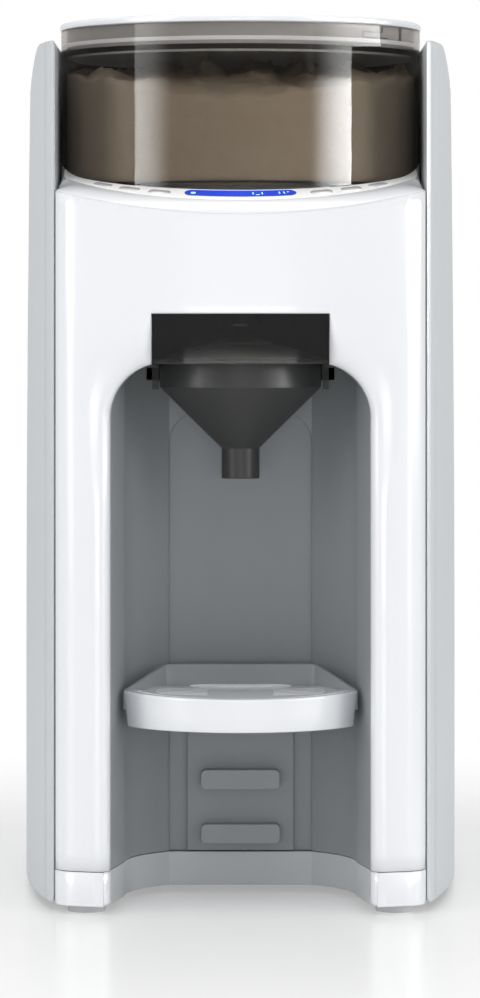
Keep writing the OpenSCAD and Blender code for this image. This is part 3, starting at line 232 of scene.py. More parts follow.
# Moulded plastic: an even colour with faint clouds, a fine skin in the gloss and the relief,
# and edges rounded by a small radius
def moulded(name, look):
    made, w = newMaterial(name)
    place = w.node("TexCoord", out="Object")
    cloud = w.noise(place, 14.0, 3.0)
    skin = w.noise(place, look.get("skinScale", 1400.0), 4.0)
    colour = np.array(look["colour"])
    shade = look.get("vary", 0.04)
    tint = mixColour(w, cloud, rgba(colour * (1 - shade)), rgba(np.minimum(colour * (1 + shade), 1)))
    rounded = w.node("Bevel", {"samples": 4}, {"Radius": look.get("edge", 0.0006)})
    normal = w.node("Bump", None, {
        "Height": skin, "Strength": look.get("grain", 0.12), "Distance": 0.00006, "Normal": rounded})
    return setSurface(made, w.node("BsdfPrincipled", None, {
        "Base Color": tint, "Roughness": cloud * 0.05 + skin * 0.06 + (look["rough"] - 0.055),
        "IOR": look.get("ior", 1.45), "Metallic": look.get("metal", 0.0),
        "Coat Weight": look.get("coat", 0.0), "Coat Roughness": 0.04, "Normal": normal}))


# Smoked clear plastic: refracts, lets tinted light through, and shows faint wipe marks in its gloss
def smoked(name, look):
    made, w = newMaterial(name)
    place = w.node("TexCoord", out="Object")
    wipe = w.noise(place, 35.0, 5.0)
    fine = w.noise(place, 900.0, 3.0)
    tint = mixColour(w, wipe, rgba(np.array(look["tint"]) * 0.97), rgba(look["tint"]))
    normal = w.node("Bump", None, {"Height": fine, "Strength": 0.04, "Distance": 0.00004})
    glass = w.node("BsdfPrincipled", None, {
        "Base Color": tint, "Roughness": wipe * 0.03 + look["rough"], "IOR": look["ior"],
        "Transmission Weight": 1.0, "Normal": normal})
    clear = w.node("BsdfTransparent", None, {"Color": rgba(look["shadow"])})
    shadow = w.node("LightPath", out="Is Shadow Ray")
    return setSurface(made, w.node("MixShader", None, {0: shadow, 1: glass, 2: clear}))


# Brushed or drawn metal: streaks along one axis in the gloss and the relief
def brushed(name, look):
    made, w = newMaterial(name)
    place = w.node("TexCoord", out="Object")
    run = w.node("Mapping", None, {"Vector": place, "Scale": (1.0, 1.0, 0.05)})
    streak = w.noise(run, 1800.0, 3.0)
    cloud = w.noise(place, 50.0, 3.0)
    colour = np.array(look["colour"])
    tint = mixColour(w, cloud, rgba(colour * 0.9), rgba(colour))
    normal = w.node("Bump", None, {"Height": streak, "Strength": 0.15, "Distance": 0.00004,
                                   "Normal": w.node("Bevel", {"samples": 4}, {"Radius": 0.0004})})
    return setSurface(made, w.node("BsdfPrincipled", None, {
        "Base Color": tint, "Metallic": 1.0, "Roughness": streak * 0.12 + look["rough"], "Normal": normal}))


# Green circuit board: copper tracks under the mask, along the edges of a cell pattern
def circuitBoard(name):
    made, w = newMaterial(name)
    place = w.node("TexCoord", out="Object")
    track = w.node("TexVoronoi", {"feature": "DISTANCE_TO_EDGE"}, {"Vector": place, "Scale": 260.0})
    line = track < 0.035
    tint = mixColour(w, line, (0.015, 0.12, 0.05, 1), (0.05, 0.22, 0.09, 1))
    normal = w.node("Bump", None, {"Height": line, "Strength": 0.3, "Distance": 0.00005})
    return setSurface(made, w.node("BsdfPrincipled", None, {
        "Base Color": tint, "Roughness": track * 0.3 + 0.32, "Normal": normal}))


mouldedLooks = {
    "whiteGloss": {"colour": (0.83, 0.845, 0.87), "rough": 0.2, "vary": 0.012, "grain": 0.05, "coat": 0.35,
                   "edge": 0.0009},
    "whiteSatin": {"colour": (0.8, 0.81, 0.83), "rough": 0.42, "vary": 0.02},
    "sideSilver": {"colour": (0.6, 0.625, 0.645), "rough": 0.36, "vary": 0.015, "grain": 0.05,
                   "edge": 0.0012},
    "nicheGrey": {"colour": (0.315, 0.333, 0.348), "rough": 0.42, "vary": 0.03, "grain": 0.25,
                  "skinScale": 900.0},
    "bandGrey": {"colour": (0.6, 0.62, 0.64), "rough": 0.4, "vary": 0.03},
    "silverPlastic": {"colour": (0.96, 0.96, 0.96), "rough": 0.34, "vary": 0.02, "grain": 0.06,
                      "metal": 0.05},
    "keySilver": {"colour": (0.66, 0.665, 0.675), "rough": 0.25, "vary": 0.02, "grain": 0.06, "metal": 0.5,
                  "edge": 0.0008},
    "funnelSmoke": {"colour": (0.042, 0.042, 0.042), "rough": 0.4, "vary": 0.08, "grain": 0.04, "ior": 1.36},
    "domeSmoke": {"colour": (0.3, 0.285, 0.265), "rough": 0.3, "vary": 0.06, "grain": 0.05},
    "blackPlastic": {"colour": (0.03, 0.03, 0.033), "rough": 0.45, "vary": 0.1},
    "innerGrey": {"colour": (0.33, 0.335, 0.345), "rough": 0.5, "vary": 0.05, "grain": 0.3},
    "whitePom": {"colour": (0.76, 0.75, 0.7), "rough": 0.38, "vary": 0.03},
    "rubberBlack": {"colour": (0.02, 0.02, 0.021), "rough": 0.75, "vary": 0.15, "grain": 0.5},
    "rubberGrey": {"colour": (0.62, 0.63, 0.64), "rough": 0.65, "vary": 0.05, "grain": 0.4},
    "silicone": {"colour": (0.7, 0.7, 0.69), "rough": 0.35, "vary": 0.03},
}
smokedLooks = {
    "hopperSmoke": {"tint": (0.37, 0.352, 0.333), "rough": 0.005, "ior": 1.16, "shadow": (0.96, 0.955, 0.95)},
    "plateSmoke": {"tint": (0.34, 0.335, 0.33), "rough": 0.02, "ior": 1.3, "shadow": (0.7, 0.7, 0.7)},
    "tankClear": {"tint": (0.72, 0.76, 0.8), "rough": 0.05, "ior": 1.25, "shadow": (0.85, 0.87, 0.9)},
}
brushedLooks = {
    "steel": {"colour": (0.6, 0.6, 0.61), "rough": 0.28},
    "castAlu": {"colour": (0.66, 0.67, 0.68), "rough": 0.4},
}


# Display: a lit blue field that fades from its middle towards both ends
def displayGlow():
    made, w = newMaterial("lcdBlue")
    place = w.node("TexCoord", out="Object")
    x = w.node("SeparateXYZ", None, {"Vector": place})
    grid = w.noise(place, 700.0)
    middle = w.ease(abs(x), 0.004, 0.024, 1.0, 0.45)
    tint = mixColour(w, middle, (0.004, 0.02, 0.3, 1), (0.02, 0.1, 0.95, 1))
    return setSurface(made, w.node("BsdfPrincipled", None, {
        "Base Color": (0.01, 0.03, 0.35, 1), "Roughness": grid * 0.05 + 0.1,
        "Emission Color": tint, "Emission Strength": 0.5}))


finishes = {name: moulded(name, look) for name, look in mouldedLooks.items()}
finishes.update({name: smoked(name, look) for name, look in smokedLooks.items()})
finishes.update({name: brushed(name, look) for name, look in brushedLooks.items()})
finishes["boardGreen"] = circuitBoard("boardGreen")
finishes["lcdBlue"] = displayGlow()

# The finish of each material slot, and of single nodes that look otherwise
slotFinish = {"white_gloss": "whiteGloss", "white_satin": "whiteSatin", "side_silver": "sideSilver",
              "niche_grey": "nicheGrey", "silver_plastic": "silverPlastic", "smoke_clear": "hopperSmoke",
              "smoke_dark": "funnelSmoke", "tank_clear": "tankClear", "lcd_blue": "lcdBlue",
              "pcb_green": "boardGreen", "black_plastic": "blackPlastic", "inner_grey": "innerGrey",
              "white_pom": "whitePom", "rubber_black": "rubberBlack", "rubber_grey": "rubberGrey",
              "silicone": "silicone", "steel": "steel", "alu": "castAlu"}
nodeFinish = {"base_niche_band": "bandGrey", "funnel_window": "plateSmoke", "powder_chute": "funnelSmoke"}
nodeFinish.update({"button_%d" % i: "keySilver" for i in range(1, 7)})

for part in frame["record"]["subparts"]:
    node = frame["nodes"][part["node"]]
    finish = finishes[nodeFinish.get(part["node"], slotFinish[part["material_slot"]])]
    node.data.materials.clear()
    node.data.materials.append(finish)
print("finishes set:", len(finishes))


# Points in millimetres and faces become an object in metres, shaded smooth below the crease angle
def meshPiece(name, points, faces, finish, body, crease=35):
    mesh = bpy.data.meshes.new(name)
    mesh.from_pydata((np.asarray(points, float) * mm).tolist(), [], [tuple(f) for f in faces])
    mesh.validate()
    piece = addObject(name, mesh)
    mesh.materials.append(finishes[finish])
    mesh.polygons.foreach_set("use_smooth", [True] * len(mesh.polygons))
    mesh.set_sharp_from_angle(angle=math.radians(crease))
    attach(piece, body)
    return piece


# Faces of a grid of rows by columns, either way closed or open; keep says which cells stay
def gridFaces(rows, columns, closeRows=False, closeColumns=False, keep=None):
    r = np.arange(rows if closeRows else rows - 1)
    c = np.arange(columns if closeColumns else columns - 1)
    R, C = np.meshgrid(r, c, indexing="ij")
    if keep is not None:
        R, C = R[keep], C[keep]
    R, C = R.ravel(), C.ravel()
    R1, C1 = (R + 1) % rows, (C + 1) % columns
    return np.stack([R * columns + C, R * columns + C1, R1 * columns + C1, R1 * columns + C], 1)


# A profile of radius and height turned round a vertical axis through a centre
def turned(profile, centre, count=160):
    a = np.linspace(0, 2 * math.pi, count, endpoint=False)[:, None]
    r, z = np.array(profile, float).T
    x = centre[0] + r[None, :] * np.sin(a)
    y = centre[1] - r[None, :] * np.cos(a)
    points = np.stack([x, y, np.broadcast_to(z, x.shape)], 2)
    return points.reshape(-1, 3), gridFaces(count, len(profile), closeRows=True)


# Arc of a circle in the plane, from one angle to another in degrees
def arc(cx, cy, r, a0, a1, count):
    a = np.radians(np.linspace(a0, a1, count))
    return np.stack([cx + r * np.cos(a), cy + r * np.sin(a)], 1)


fascia = {"front": -165, "bowR": 210, "halfWidth": 78.7, "cornerR": 12, "endY": -118, "foot": 18.3,
          "columnTop": 210, "archR": 23, "lipX": 55, "plateX": 37.5, "plateTop": 253.8,
          "columnLip": 8, "columnDepth": 7.5, "archLip": 19, "archDepth": 8.5, "returnY": -147.8,
          "widenFrom": 165, "widenShare": 0.45, "plateLip": 0.8, "plateTurn": math.pi / 2 * 0.42,
          "sideRise": 62, "seamLow": 295.7, "seamR": 310, "wall": 2.2}


# Height of the front face behind the foremost line: a circle of bowR through the middle
def frontY(x):
    return fascia["front"] + fascia["bowR"] - np.sqrt(fascia["bowR"] ** 2 - np.asarray(x, float) ** 2)


# Height of the seam under the control ring: a parabola with its low point in the middle
def seamZ(x):
    return fascia["seamLow"] + np.asarray(x, float) ** 2 / (2 * fascia["seamR"])


# The fascia's side corner: the angle at which it leaves the bow, its middle, and x where it starts
def cornerArc():
    f = fascia
    contact = math.asin((f["halfWidth"] - f["cornerR"]) / (f["bowR"] - f["cornerR"]))
    centreX = f["halfWidth"] - f["cornerR"]
    edgeX = centreX + f["cornerR"] * math.sin(contact)
    return contact, centreX, float(frontY(edgeX)) + f["cornerR"] * math.cos(contact), edgeX


# Half of the bay's edge from the foot to the middle of the plate's opening, with the outward
# direction, the lip's width and depth, and the point of the outer edge that each row runs to
def bayEdge():
    f = fascia
    edgeX = cornerArc()[3]
    side, small = f["columnTop"] + f["sideRise"], f["plateLip"]
    lipGrowth, depthGrowth = f["archLip"] - f["columnLip"], f["archDepth"] - f["columnDepth"]
    rows = []
    for z in np.linspace(f["foot"], f["columnTop"], 26)[:-1]:
        late = np.clip((z - f["widenFrom"]) / (f["columnTop"] - f["widenFrom"]), 0, 1)
        ease = late * late * (3 - 2 * late) * f["widenShare"]
        rows.append((f["lipX"], z, 1, 0, f["columnLip"] + lipGrowth * ease,
                     f["columnDepth"] + depthGrowth * ease, edgeX, z, 1))
    last = math.acos((f["plateX"] - f["lipX"] + f["archR"]) / f["archR"])
    bend = last - f["plateTurn"]
    for t in np.linspace(0, 1, 22):
        a = last * t
        out = a - bend * t * t
        early = min(1, t * 1.6)
        ease = f["widenShare"] + (1 - f["widenShare"]) * early ** 2 * (3 - 2 * early)
        rows.append((f["lipX"] - f["archR"] + f["archR"] * math.cos(a),
                     f["columnTop"] + f["archR"] * math.sin(a), math.cos(out), math.sin(out),
                     f["columnLip"] + lipGrowth * ease, f["columnDepth"] + depthGrowth * ease,
                     edgeX, f["columnTop"] + f["sideRise"] * t, 1))
    plateLow = f["columnTop"] + f["archR"] * math.sin(last)
    for t in np.linspace(0, 1, 12)[1:]:
        fade = (1 - t) ** 1.5
        out = f["plateTurn"] * (1 - t)
        rows.append((f["plateX"], plateLow + (f["plateTop"] - plateLow) * t, math.cos(out), math.sin(out),
                     small + (f["archLip"] - small) * fade, small + (f["archDepth"] - small) * fade,
                     edgeX, side + (seamZ(edgeX) - side) * t, 1))
    for t in np.linspace(0, 1, 24):
        rows.append((f["plateX"] * (1 - t), f["plateTop"], 0, 1, small, small,
                     edgeX * (1 - t), float(seamZ(edgeX * (1 - t))), 0))
    return np.array(rows)


# Columns of the grid: the return wall, a quarter-ellipse lip, a straight run over the bowed face,
# then the corner's arc and the side wall
def fasciaPiece():
    f = fascia
    half = bayEdge()
    contact, centreX, centreY, edgeX = cornerArc()
    mirror = half[-2::-1].copy()
    mirror[:, [0, 2, 6]] *= -1
    rows = np.vstack([half, mirror])
    ex, ez, nx, nz, lip, depth, bx, bz, side = rows.T[:, :, None]
    theta = np.linspace(0, math.pi / 2, 10)[None, :]
    lipD = lip * (1 - np.cos(theta))
    lipX, lipZ = ex + nx * lipD, ez + nz * lipD
    lipY = frontY(lipX) + depth * (1 - np.sin(theta))
    back = np.linspace(0, 1, 4)[None, :-1]
    backY = f["returnY"] + (lipY[:, :1] - f["returnY"]) * back
    run = np.linspace(0, 1, 15)[None, 1:]
    runX = lipX[:, -1:] + (bx - lipX[:, -1:]) * run
    runZ = lipZ[:, -1:] + (bz - lipZ[:, -1:]) * run
    runY = frontY(runX)
    turn = np.linspace(-math.pi / 2 + contact, 0, 9)[None, 1:]
    wrapX = np.concatenate([centreX + f["cornerR"] * np.cos(turn), np.full((1, 3), f["halfWidth"])], 1)
    wrapY = np.concatenate([centreY + f["cornerR"] * np.sin(turn),
                            np.linspace(centreY, f["endY"], 4)[None, 1:]], 1)
    steps = np.arange(1, wrapX.shape[1] + 1)[None, :] / wrapX.shape[1]
    sideX = np.where(side > 0, np.sign(bx) * wrapX, bx)
    sideY = np.where(side > 0, wrapY, runY[:, -1:] + 3 * steps)
    top = np.abs(bz - seamZ(edgeX)) < 0.01
    sideZ = np.where(top & (side > 0), seamZ(sideX), bz + 0 * steps)
    X = np.concatenate([ex + 0 * back, lipX, runX, sideX], 1)
    Y = np.concatenate([backY, lipY, runY, sideY], 1)
    Z = np.concatenate([ez + 0 * back, lipZ, runZ, sideZ], 1)
    count, columns = X.shape
    keep = np.ones((count - 1, columns - 1), bool)
    flips = np.nonzero(np.diff(rows[:, 8]) != 0)[0]
    keep[flips, X.shape[1] - wrapX.shape[1] - 1:] = False
    points = np.stack([X, Y, Z], 2).reshape(-1, 3)
    faces = gridFaces(count, columns, keep=keep)
    piece = meshPiece("fasciaShell", points, faces, "whiteGloss", "machine", 50)
    wall = piece.modifiers.new("wall", "SOLIDIFY")
    wall.thickness, wall.offset = f["wall"] * mm, -1
    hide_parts("front_shell")


fasciaPiece()
print("fascia made")


powder = {"radius": 76.4, "centreY": -70, "front": 345.5, "rise": 15, "wheelRise": 309.5, "slopeR": 63,
          "wallLow": 310.6, "steep": 11.5, "steepRun": 20, "cliff": 4.0, "cliffY": 26,
          "lumpSizes": (46, 21, 9, 4.5), "lumpHeights": (2.2, 1.8, 1.2, 0.7), "seed": 4}


# Fixed waves of several sizes stand for a clumpy heap: a sum of sines along turned directions
def lumps(x, y, seed, sizes, heights):
    rng = np.random.default_rng(seed)
    total = 0 * x
    for size, height in zip(sizes, heights):
        for _ in range(7):
            a, p = rng.uniform(0, 2 * math.pi, 2)
            run = (x * math.cos(a) + y * math.sin(a)) * 2 * math.pi / size
            total = total + height / 3 * np.sin(run * rng.uniform(0.8, 1.25) + p)
    return total


# A closed heap: its top on rings from the middle out, its side down the hopper's wall, and its
# underside in to the middle over the sloped floor
def powderPiece():
    p = powder
    count = 220
    a = np.linspace(0, 2 * math.pi, count, endpoint=False)[:, None]
    topR = p["radius"] * np.linspace(0.004, 1, 90)[None, :]
    x = topR * np.sin(a)
    y = -topR * np.cos(a)
    back = (y + p["radius"]) / (2 * p["radius"])
    crest = lumps(x, y, p["seed"], p["lumpSizes"], p["lumpHeights"])
    cliff = p["cliff"] / (1 + np.exp(-(y - p["cliffY"] + 9 * np.sin(x / 17)) / 3.0))
    climb = p["steep"] * (1 - np.exp(-(y + p["radius"]) / p["steepRun"]))
    top = p["front"] + climb + p["rise"] * back * 0.2 + cliff
    top = top + crest * (0.25 + 0.75 * np.clip(back * 2, 0, 1))
    edge = np.clip((topR / p["radius"] - 0.97) / 0.03, 0, 1)
    top = top - 0.5 * edge ** 2
    X, Y, Z = [x], [y], [top]
    for t in np.linspace(0, 1, 18)[1:]:
        X.append(x[:, -1:])
        Y.append(y[:, -1:])
        Z.append(top[:, -1:] * (1 - t) + p["wallLow"] * t)
    low = p["wheelRise"]
    slope = p["slopeR"] / p["radius"]
    for r, z in ((0.985, low + 0.6), (0.93, low + 0.3), (slope, low), (0.5, low), (0.15, low)):
        X.append(p["radius"] * r * np.sin(a))
        Y.append(-p["radius"] * r * np.cos(a))
        Z.append(np.full_like(a, z))
    X, Y, Z = (np.concatenate(v, 1) for v in (X, Y, Z))
    points = np.stack([X, Y + p["centreY"], Z], 2).reshape(-1, 3)
    faces = gridFaces(count, X.shape[1], closeRows=True).tolist()
    faces.append([i * X.shape[1] for i in range(count)][::-1])
    faces.append([(i + 1) * X.shape[1] - 1 for i in range(count)])
    made, w = newMaterial("milkPowder")
    place = w.node("TexCoord", out="Object")
    clump = w.node("TexNoise", None, {"Vector": place, "Scale": 120.0, "Detail": 6.0, "Roughness": 0.65})
    grain = w.noise(place, 1500.0)
    layers = w.node("Mapping", None, {"Vector": place, "Scale": (1, 1, 5)})
    streak = w.noise(layers, 30.0, 4.0)
    x = w.node("SeparateXYZ", None, {"Vector": place})
    # Painted light: the powder is painted lighter towards the hopper's sides than in its middle, to make up
    # for the shade that falls on it there. The clumps and streaks are the powder's own mottling.
    sideLightMask = w.ease(abs(x), 0.025, 0.07, 0.0, 1.0)
    middlePowder = mixColour(w, clump * 0.6 + streak * 0.4, (0.5, 0.41, 0.305, 1), (0.66, 0.585, 0.475, 1))
    paintedLightSides = mixColour(w, clump * 0.6 + streak * 0.4, (0.84, 0.72, 0.56, 1), (0.98, 0.92, 0.8, 1))
    tint = mixColour(w, sideLightMask, middlePowder, paintedLightSides)
    rough = w.node("Bump", None, {"Height": clump + grain * 0.4, "Strength": 0.7, "Distance": 0.0012})
    finishes["milkPowder"] = setSurface(made, w.node("BsdfPrincipled", None, {
        "Base Color": tint, "Roughness": grain * 0.1 + 0.85, "Specular IOR Level": 0.15, "Normal": rough}))
    meshPiece("powderHeap", points, faces, "milkPowder", "hopper", 180)


powderPiece()
print("powder made")


ring = {"centreY": -70, "inR": 79.6, "stripR": 89.8, "inZ": 318.9, "inSlope": 0.156, "stripZ": 324.8,
        "stripSlope": 0.257, "rise": 7, "riseFrom": 55, "end": 80, "fadeFrom": 61, "fadeTo": 73,
        "crown": 0.35, "bulge": 1.2, "lip": 0.45, "keyR": 86.1, "keyLength": 10.2, "keyWidth": 3.4,
        "keyAngles": (23.5, 33.2, 43.0), "dome": 0.55, "lcdIn": 81.5, "lcdOut": 87.3, "lcdHalf": 16.2}


# Radius of the fascia's outline seen from the hopper's axis at given angles from the front
def outlineR(alpha):
    f = fascia
    contact, centreX, centreY, edgeX = cornerArc()
    x = np.linspace(0, edgeX, 60)
    line = np.stack([x, frontY(x)], 1)
    turn = arc(centreX, centreY, f["cornerR"], math.degrees(-math.pi / 2 + contact), 0, 20)
    side = np.stack([np.full(40, f["halfWidth"]), np.linspace(centreY, -40, 40)], 1)
    line = np.vstack([line, turn, side]) - (0, ring["centreY"])
    angle = np.arctan2(line[:, 0], -line[:, 1])
    return np.interp(np.abs(alpha), angle, np.hypot(line[:, 0], line[:, 1]))


# Inner edge, the strip's outer edge and the ring's outer edge as radius and height at an angle
def ringEdges(alpha):
    q = ring
    rise = q["rise"] * np.clip((np.degrees(np.abs(alpha)) - q["riseFrom"]) / 35, 0, 1) ** 2.2
    inZ = q["inZ"] - q["inSlope"] * q["inR"] * np.cos(alpha) + rise
    outR = np.maximum(outlineR(alpha), q["inR"] + 0.1)
    outZ = seamZ(np.minimum(outR * np.abs(np.sin(alpha)), fascia["halfWidth"])) + 0.35
    fade = np.clip((np.degrees(np.abs(alpha)) - q["fadeFrom"]) / (q["fadeTo"] - q["fadeFrom"]), 0, 1)
    stripR = np.minimum(q["stripR"], q["inR"] + (outR - q["inR"]) * 0.7)
    stripR = q["inR"] + (stripR - q["inR"]) * np.sqrt(np.maximum(1 - fade ** 2, 0)) + 0.01
    stripZ = np.minimum(q["stripZ"] - q["stripSlope"] * q["stripR"] * np.cos(alpha), inZ - 0.1)
    share = (stripR - q["inR"]) / (q["stripR"] - q["inR"])
    stripZ = inZ + (stripZ - inZ) * share
    return q["inR"] + 0 * alpha, inZ, stripR, stripZ, outR, outZ


# Height of the silver strip's face at a radius and an angle
def stripHeight(r, alpha):
    inR, inZ, stripR, stripZ, _, _ = ringEdges(alpha)
    share = (r - inR) / (stripR - inR)
    return inZ + (stripZ - inZ) * share + ring["crown"] * np.sin(math.pi * np.clip(share, 0, 1))


# Polar place round the hopper's axis, held inside the fascia's sides
def ringPoint(r, alpha, z):
    reach = fascia["halfWidth"] - 0.1
    x = np.clip(r * np.sin(alpha), -reach, reach)
    return np.stack([x, ring["centreY"] - r * np.cos(alpha), z], -1)


# Strip: a rounded inner edge, a face with a shallow crown and a small step into the bezel's groove
def stripPiece():
    alpha = np.radians(np.linspace(-ring["fadeTo"], ring["fadeTo"], 241))[:, None]
    inR, inZ, outR, outZ, _, _ = ringEdges(alpha)
    t = np.array([[0, 0, 0.03, 0.09, 0.2, 0.35, 0.5, 0.65, 0.8, 0.92, 0.975, 1, 1]])
    drop = np.array([[6, 0.5, 0.12, 0, 0, 0, 0, 0, 0, 0, 0.08, 0.3, 3]])
    crown = ring["crown"] * np.sin(math.pi * np.clip(t, 0, 1))
    r = inR + (outR - inR) * t
    z = inZ + (outZ - inZ) * t + crown * np.clip((outR - inR) / 8, 0, 1) - drop
    points = ringPoint(r, alpha + 0 * t, z).reshape(-1, 3)
    piece = meshPiece("ringStrip", points, gridFaces(*r.shape)[:, ::-1], "silverPlastic", "machine", 40)
    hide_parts("control_strip")


# Bezel: a convex band between the strip and the seam, with a lip over the dark seam below it
def bezelPiece():
    alpha = np.radians(np.linspace(-ring["end"], ring["end"], 321))[:, None]
    _, _, inR, inZ, outR, outZ = ringEdges(alpha)
    t = np.linspace(0, 1, 15)[None, :]
    width = np.clip((outR - inR) / 5, 0.15, 1)
    bulge = ring["bulge"] * np.sin(math.pi * t) ** 0.8 * width
    r = inR + (outR - inR) * t + bulge * 0.35
    r = np.minimum(r, outR)
    z = inZ + (outZ - inZ) * t + bulge * 0.8
    r = np.concatenate([inR + 0.05, inR + 0.05, r, outR - 0.1, outR - 1.5], 1)
    z = np.concatenate([inZ - 5, inZ - 0.5, z, outZ - ring["lip"], outZ - ring["lip"] - 0.1], 1)
    points = ringPoint(r, alpha + 0 * r, z).reshape(-1, 3)
    piece = meshPiece("ringBezel", points, gridFaces(*r.shape)[:, ::-1], "whiteGloss", "machine", 50)
    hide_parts("control_deck")


# A pad on the strip: rings of a rounded outline from the rim in, raised by a dome
def stripPad(name, alpha, r, length, width, dome, finish, body, corner=0.5):
    count, rings = 64, 9
    a = np.linspace(0, 2 * math.pi, count, endpoint=False)[:, None]
    power = 2 / (2 + 3 * (1 - corner))
    u = np.sign(np.cos(a)) * np.abs(np.cos(a)) ** power * length / 2
    v = np.sign(np.sin(a)) * np.abs(np.sin(a)) ** power * width / 2
    if corner == 1:
        flat = max(length - width, 0) / 2
        part, stops, quarter = a / (math.pi / 2), [0, 1, 2, 3, 4], math.pi / 2
        bend = np.interp(part, stops, [-quarter, quarter, quarter, 3 * quarter, 3 * quarter])
        u = np.interp(part, stops, [flat, flat, -flat, -flat, flat]) + np.cos(bend) * width / 2
        v = np.sin(bend) * width / 2
    k = np.concatenate([[1, 1], np.cos(np.linspace(0, math.pi / 2, rings))[1:-1], [0.02]])[None, :]
    up = np.concatenate([[-1.2, 0.05], dome * np.sin(np.linspace(0, math.pi / 2, rings))[1:-1] + 0.05,
                         [dome + 0.05]])[None, :]
    rad = r + v * k
    ang = alpha + u * k / r
    points = ringPoint(rad, ang, stripHeight(rad, ang) + up).reshape(-1, 3)
    faces = gridFaces(count, k.shape[1], closeRows=True).tolist()
    faces.append([(i + 1) * k.shape[1] - 1 for i in range(count)])
    return meshPiece(name, points, faces, finish, body, 50)


# Cyan signs of the display: a drop, an open ring and three bars, each a thin lit pad
def displaySigns():
    made, w = newMaterial("signCyan")
    place = w.node("TexCoord", out="Object")
    flicker = w.noise(place, 900.0)
    tint = mixColour(w, flicker, (0.25, 0.75, 1, 1), (0.4, 0.85, 1, 1))
    finishes["signCyan"] = setSurface(made, w.node("BsdfPrincipled", None, {
        "Base Color": (0.2, 0.6, 0.9, 1), "Roughness": 0.3,
        "Emission Color": tint, "Emission Strength": 0.9}))
    signs = [(-13.6, 84.9, 2.2, 1.8), (3.6, 84.6, 0.7, 2.6), (4.9, 85.9, 2.0, 0.6), (6.2, 84.6, 0.7, 2.6),
             (11.2, 84.6, 0.6, 2.4), (12.6, 84.6, 0.6, 2.4), (13.8, 84.0, 1.0, 0.7)]
    for i, (angle, r, length, width) in enumerate(signs):
        stripPad("displaySign%d" % (i + 1), math.radians(angle), r, length, width, 0.14,
                 "signCyan", "machine", 0.6)


stripPiece()
bezelPiece()
for i, angle in enumerate([-a for a in ring["keyAngles"][::-1]] + list(ring["keyAngles"])):
    button = "button_%d" % (i + 1)
    key = stripPad("ovalKey%d" % (i + 1), math.radians(angle), ring["keyR"], ring["keyLength"],
                   ring["keyWidth"], ring["dome"], "keySilver", button, 1)
    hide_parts(button)
lcdMid = (ring["lcdIn"] + ring["lcdOut"]) / 2
lcd = stripPad("displayPane", 0.0, lcdMid, 2 * lcdMid * math.radians(ring["lcdHalf"]),
               ring["lcdOut"] - ring["lcdIn"], 0.08, "lcdBlue", "machine", 1)
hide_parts("lcd_window")
displaySigns()
print("control ring made")


covers = {"half": 97, "bow": 630, "taper": 4.3, "foot": 3.5, "shoulderZ": 345, "shoulderR": 66, "top": 370,
          "rear": 62, "edge": (83.2, -131), "facet": (81.2, -139), "nose": (79.25, -141.6), "inner": 79.05,
          "groove": 0.35}


# One cover: its outline at each height, from the rear round the bowed outside, over a grooved
# crisp edge and two facets to the flat inner wall
def sideCover(sign):
    c = covers
    bend = c["top"] - c["shoulderZ"] - 1
    z = np.concatenate([[c["foot"], 3.9, 5, 6.5], np.linspace(8, c["shoulderZ"], 20),
                        c["shoulderZ"] + np.linspace(0, bend, 16)[1:], [c["top"] - 0.4, c["top"]]])
    inset = np.concatenate([[2.2, 1.1, 0.3, 0], np.zeros(35), [0.35, 1.0]])[:, None]
    rise = np.clip((z - c["foot"]) / (c["shoulderZ"] - c["foot"]), 0, None)
    reach = c["half"] - c["taper"] * rise ** 1.6
    curve = np.sqrt(np.maximum(c["shoulderR"] ** 2 - (z - c["shoulderZ"]) ** 2, 0))
    curve = curve + c["half"] - c["taper"] - c["shoulderR"]
    reach = np.where(z > c["shoulderZ"], curve, reach)[:, None]
    y = np.linspace(c["rear"], c["edge"][1] + 1.6, 44)
    x = c["half"] - c["bow"] + np.sqrt(c["bow"] ** 2 - y ** 2)
    g = c["groove"]
    extra = np.array([(x[-1] - 0.05, c["edge"][1] + 1.5), (x[-1] - g, c["edge"][1] + 1.3),
                      (x[-1] - g - 0.05, c["edge"][1] + 0.5), (x[-1] - 0.1, c["edge"][1] + 0.3), c["edge"],
                      (c["edge"][0] - 0.25, c["edge"][1] - 0.7), (c["facet"][0] + 0.15, c["facet"][1] + 0.8),
                      c["facet"], (c["facet"][0] - 0.35, c["facet"][1] - 0.55), c["nose"],
                      (c["inner"], c["nose"][1] + 0.5)])
    inner = np.stack([np.full(14, c["inner"]), np.linspace(c["nose"][1] + 3, c["rear"], 14)], 1)
    loop = np.vstack([np.stack([x, y], 1), extra, inner])
    slack = np.where(np.arange(len(loop)) < 44, 0, x[-1] - loop[:, 0])[None, :]
    X = np.minimum(loop[None, :, 0], reach - slack * np.clip((reach - c["inner"]) / 5, 0, 1))
    X = np.maximum(np.minimum(X, X.max(1, keepdims=True) - inset), c["inner"] + inset * 0.6)
    Y = np.clip(loop[None, :, 1] + 0 * z[:, None], c["nose"][1] + inset, c["rear"] - inset * 0.5)
    Z = z[:, None] + 0 * X
    points = np.stack([sign * X, Y, Z], 2).reshape(-1, 3)
    count, around = X.shape
    faces = gridFaces(count, around, closeColumns=True).tolist()
    faces += [list(range(around))[::-1], list(range((count - 1) * around, count * around))]
    if sign > 0:
        faces = [f[::-1] for f in faces]
    name = "sideShellRight" if sign > 0 else "sideShellLeft"
    piece = meshPiece(name, points, faces, "sideSilver", "machine", 22)
    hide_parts("right_side_cover" if sign > 0 else "left_side_cover")


for sign in (-1, 1):
    sideCover(sign)
print("side covers made")


lid = {"centreY": -70, "rimR": 79.4, "top": 380.9, "skirtR": 76.3, "skirtLow": 365.3, "ridge": 371}


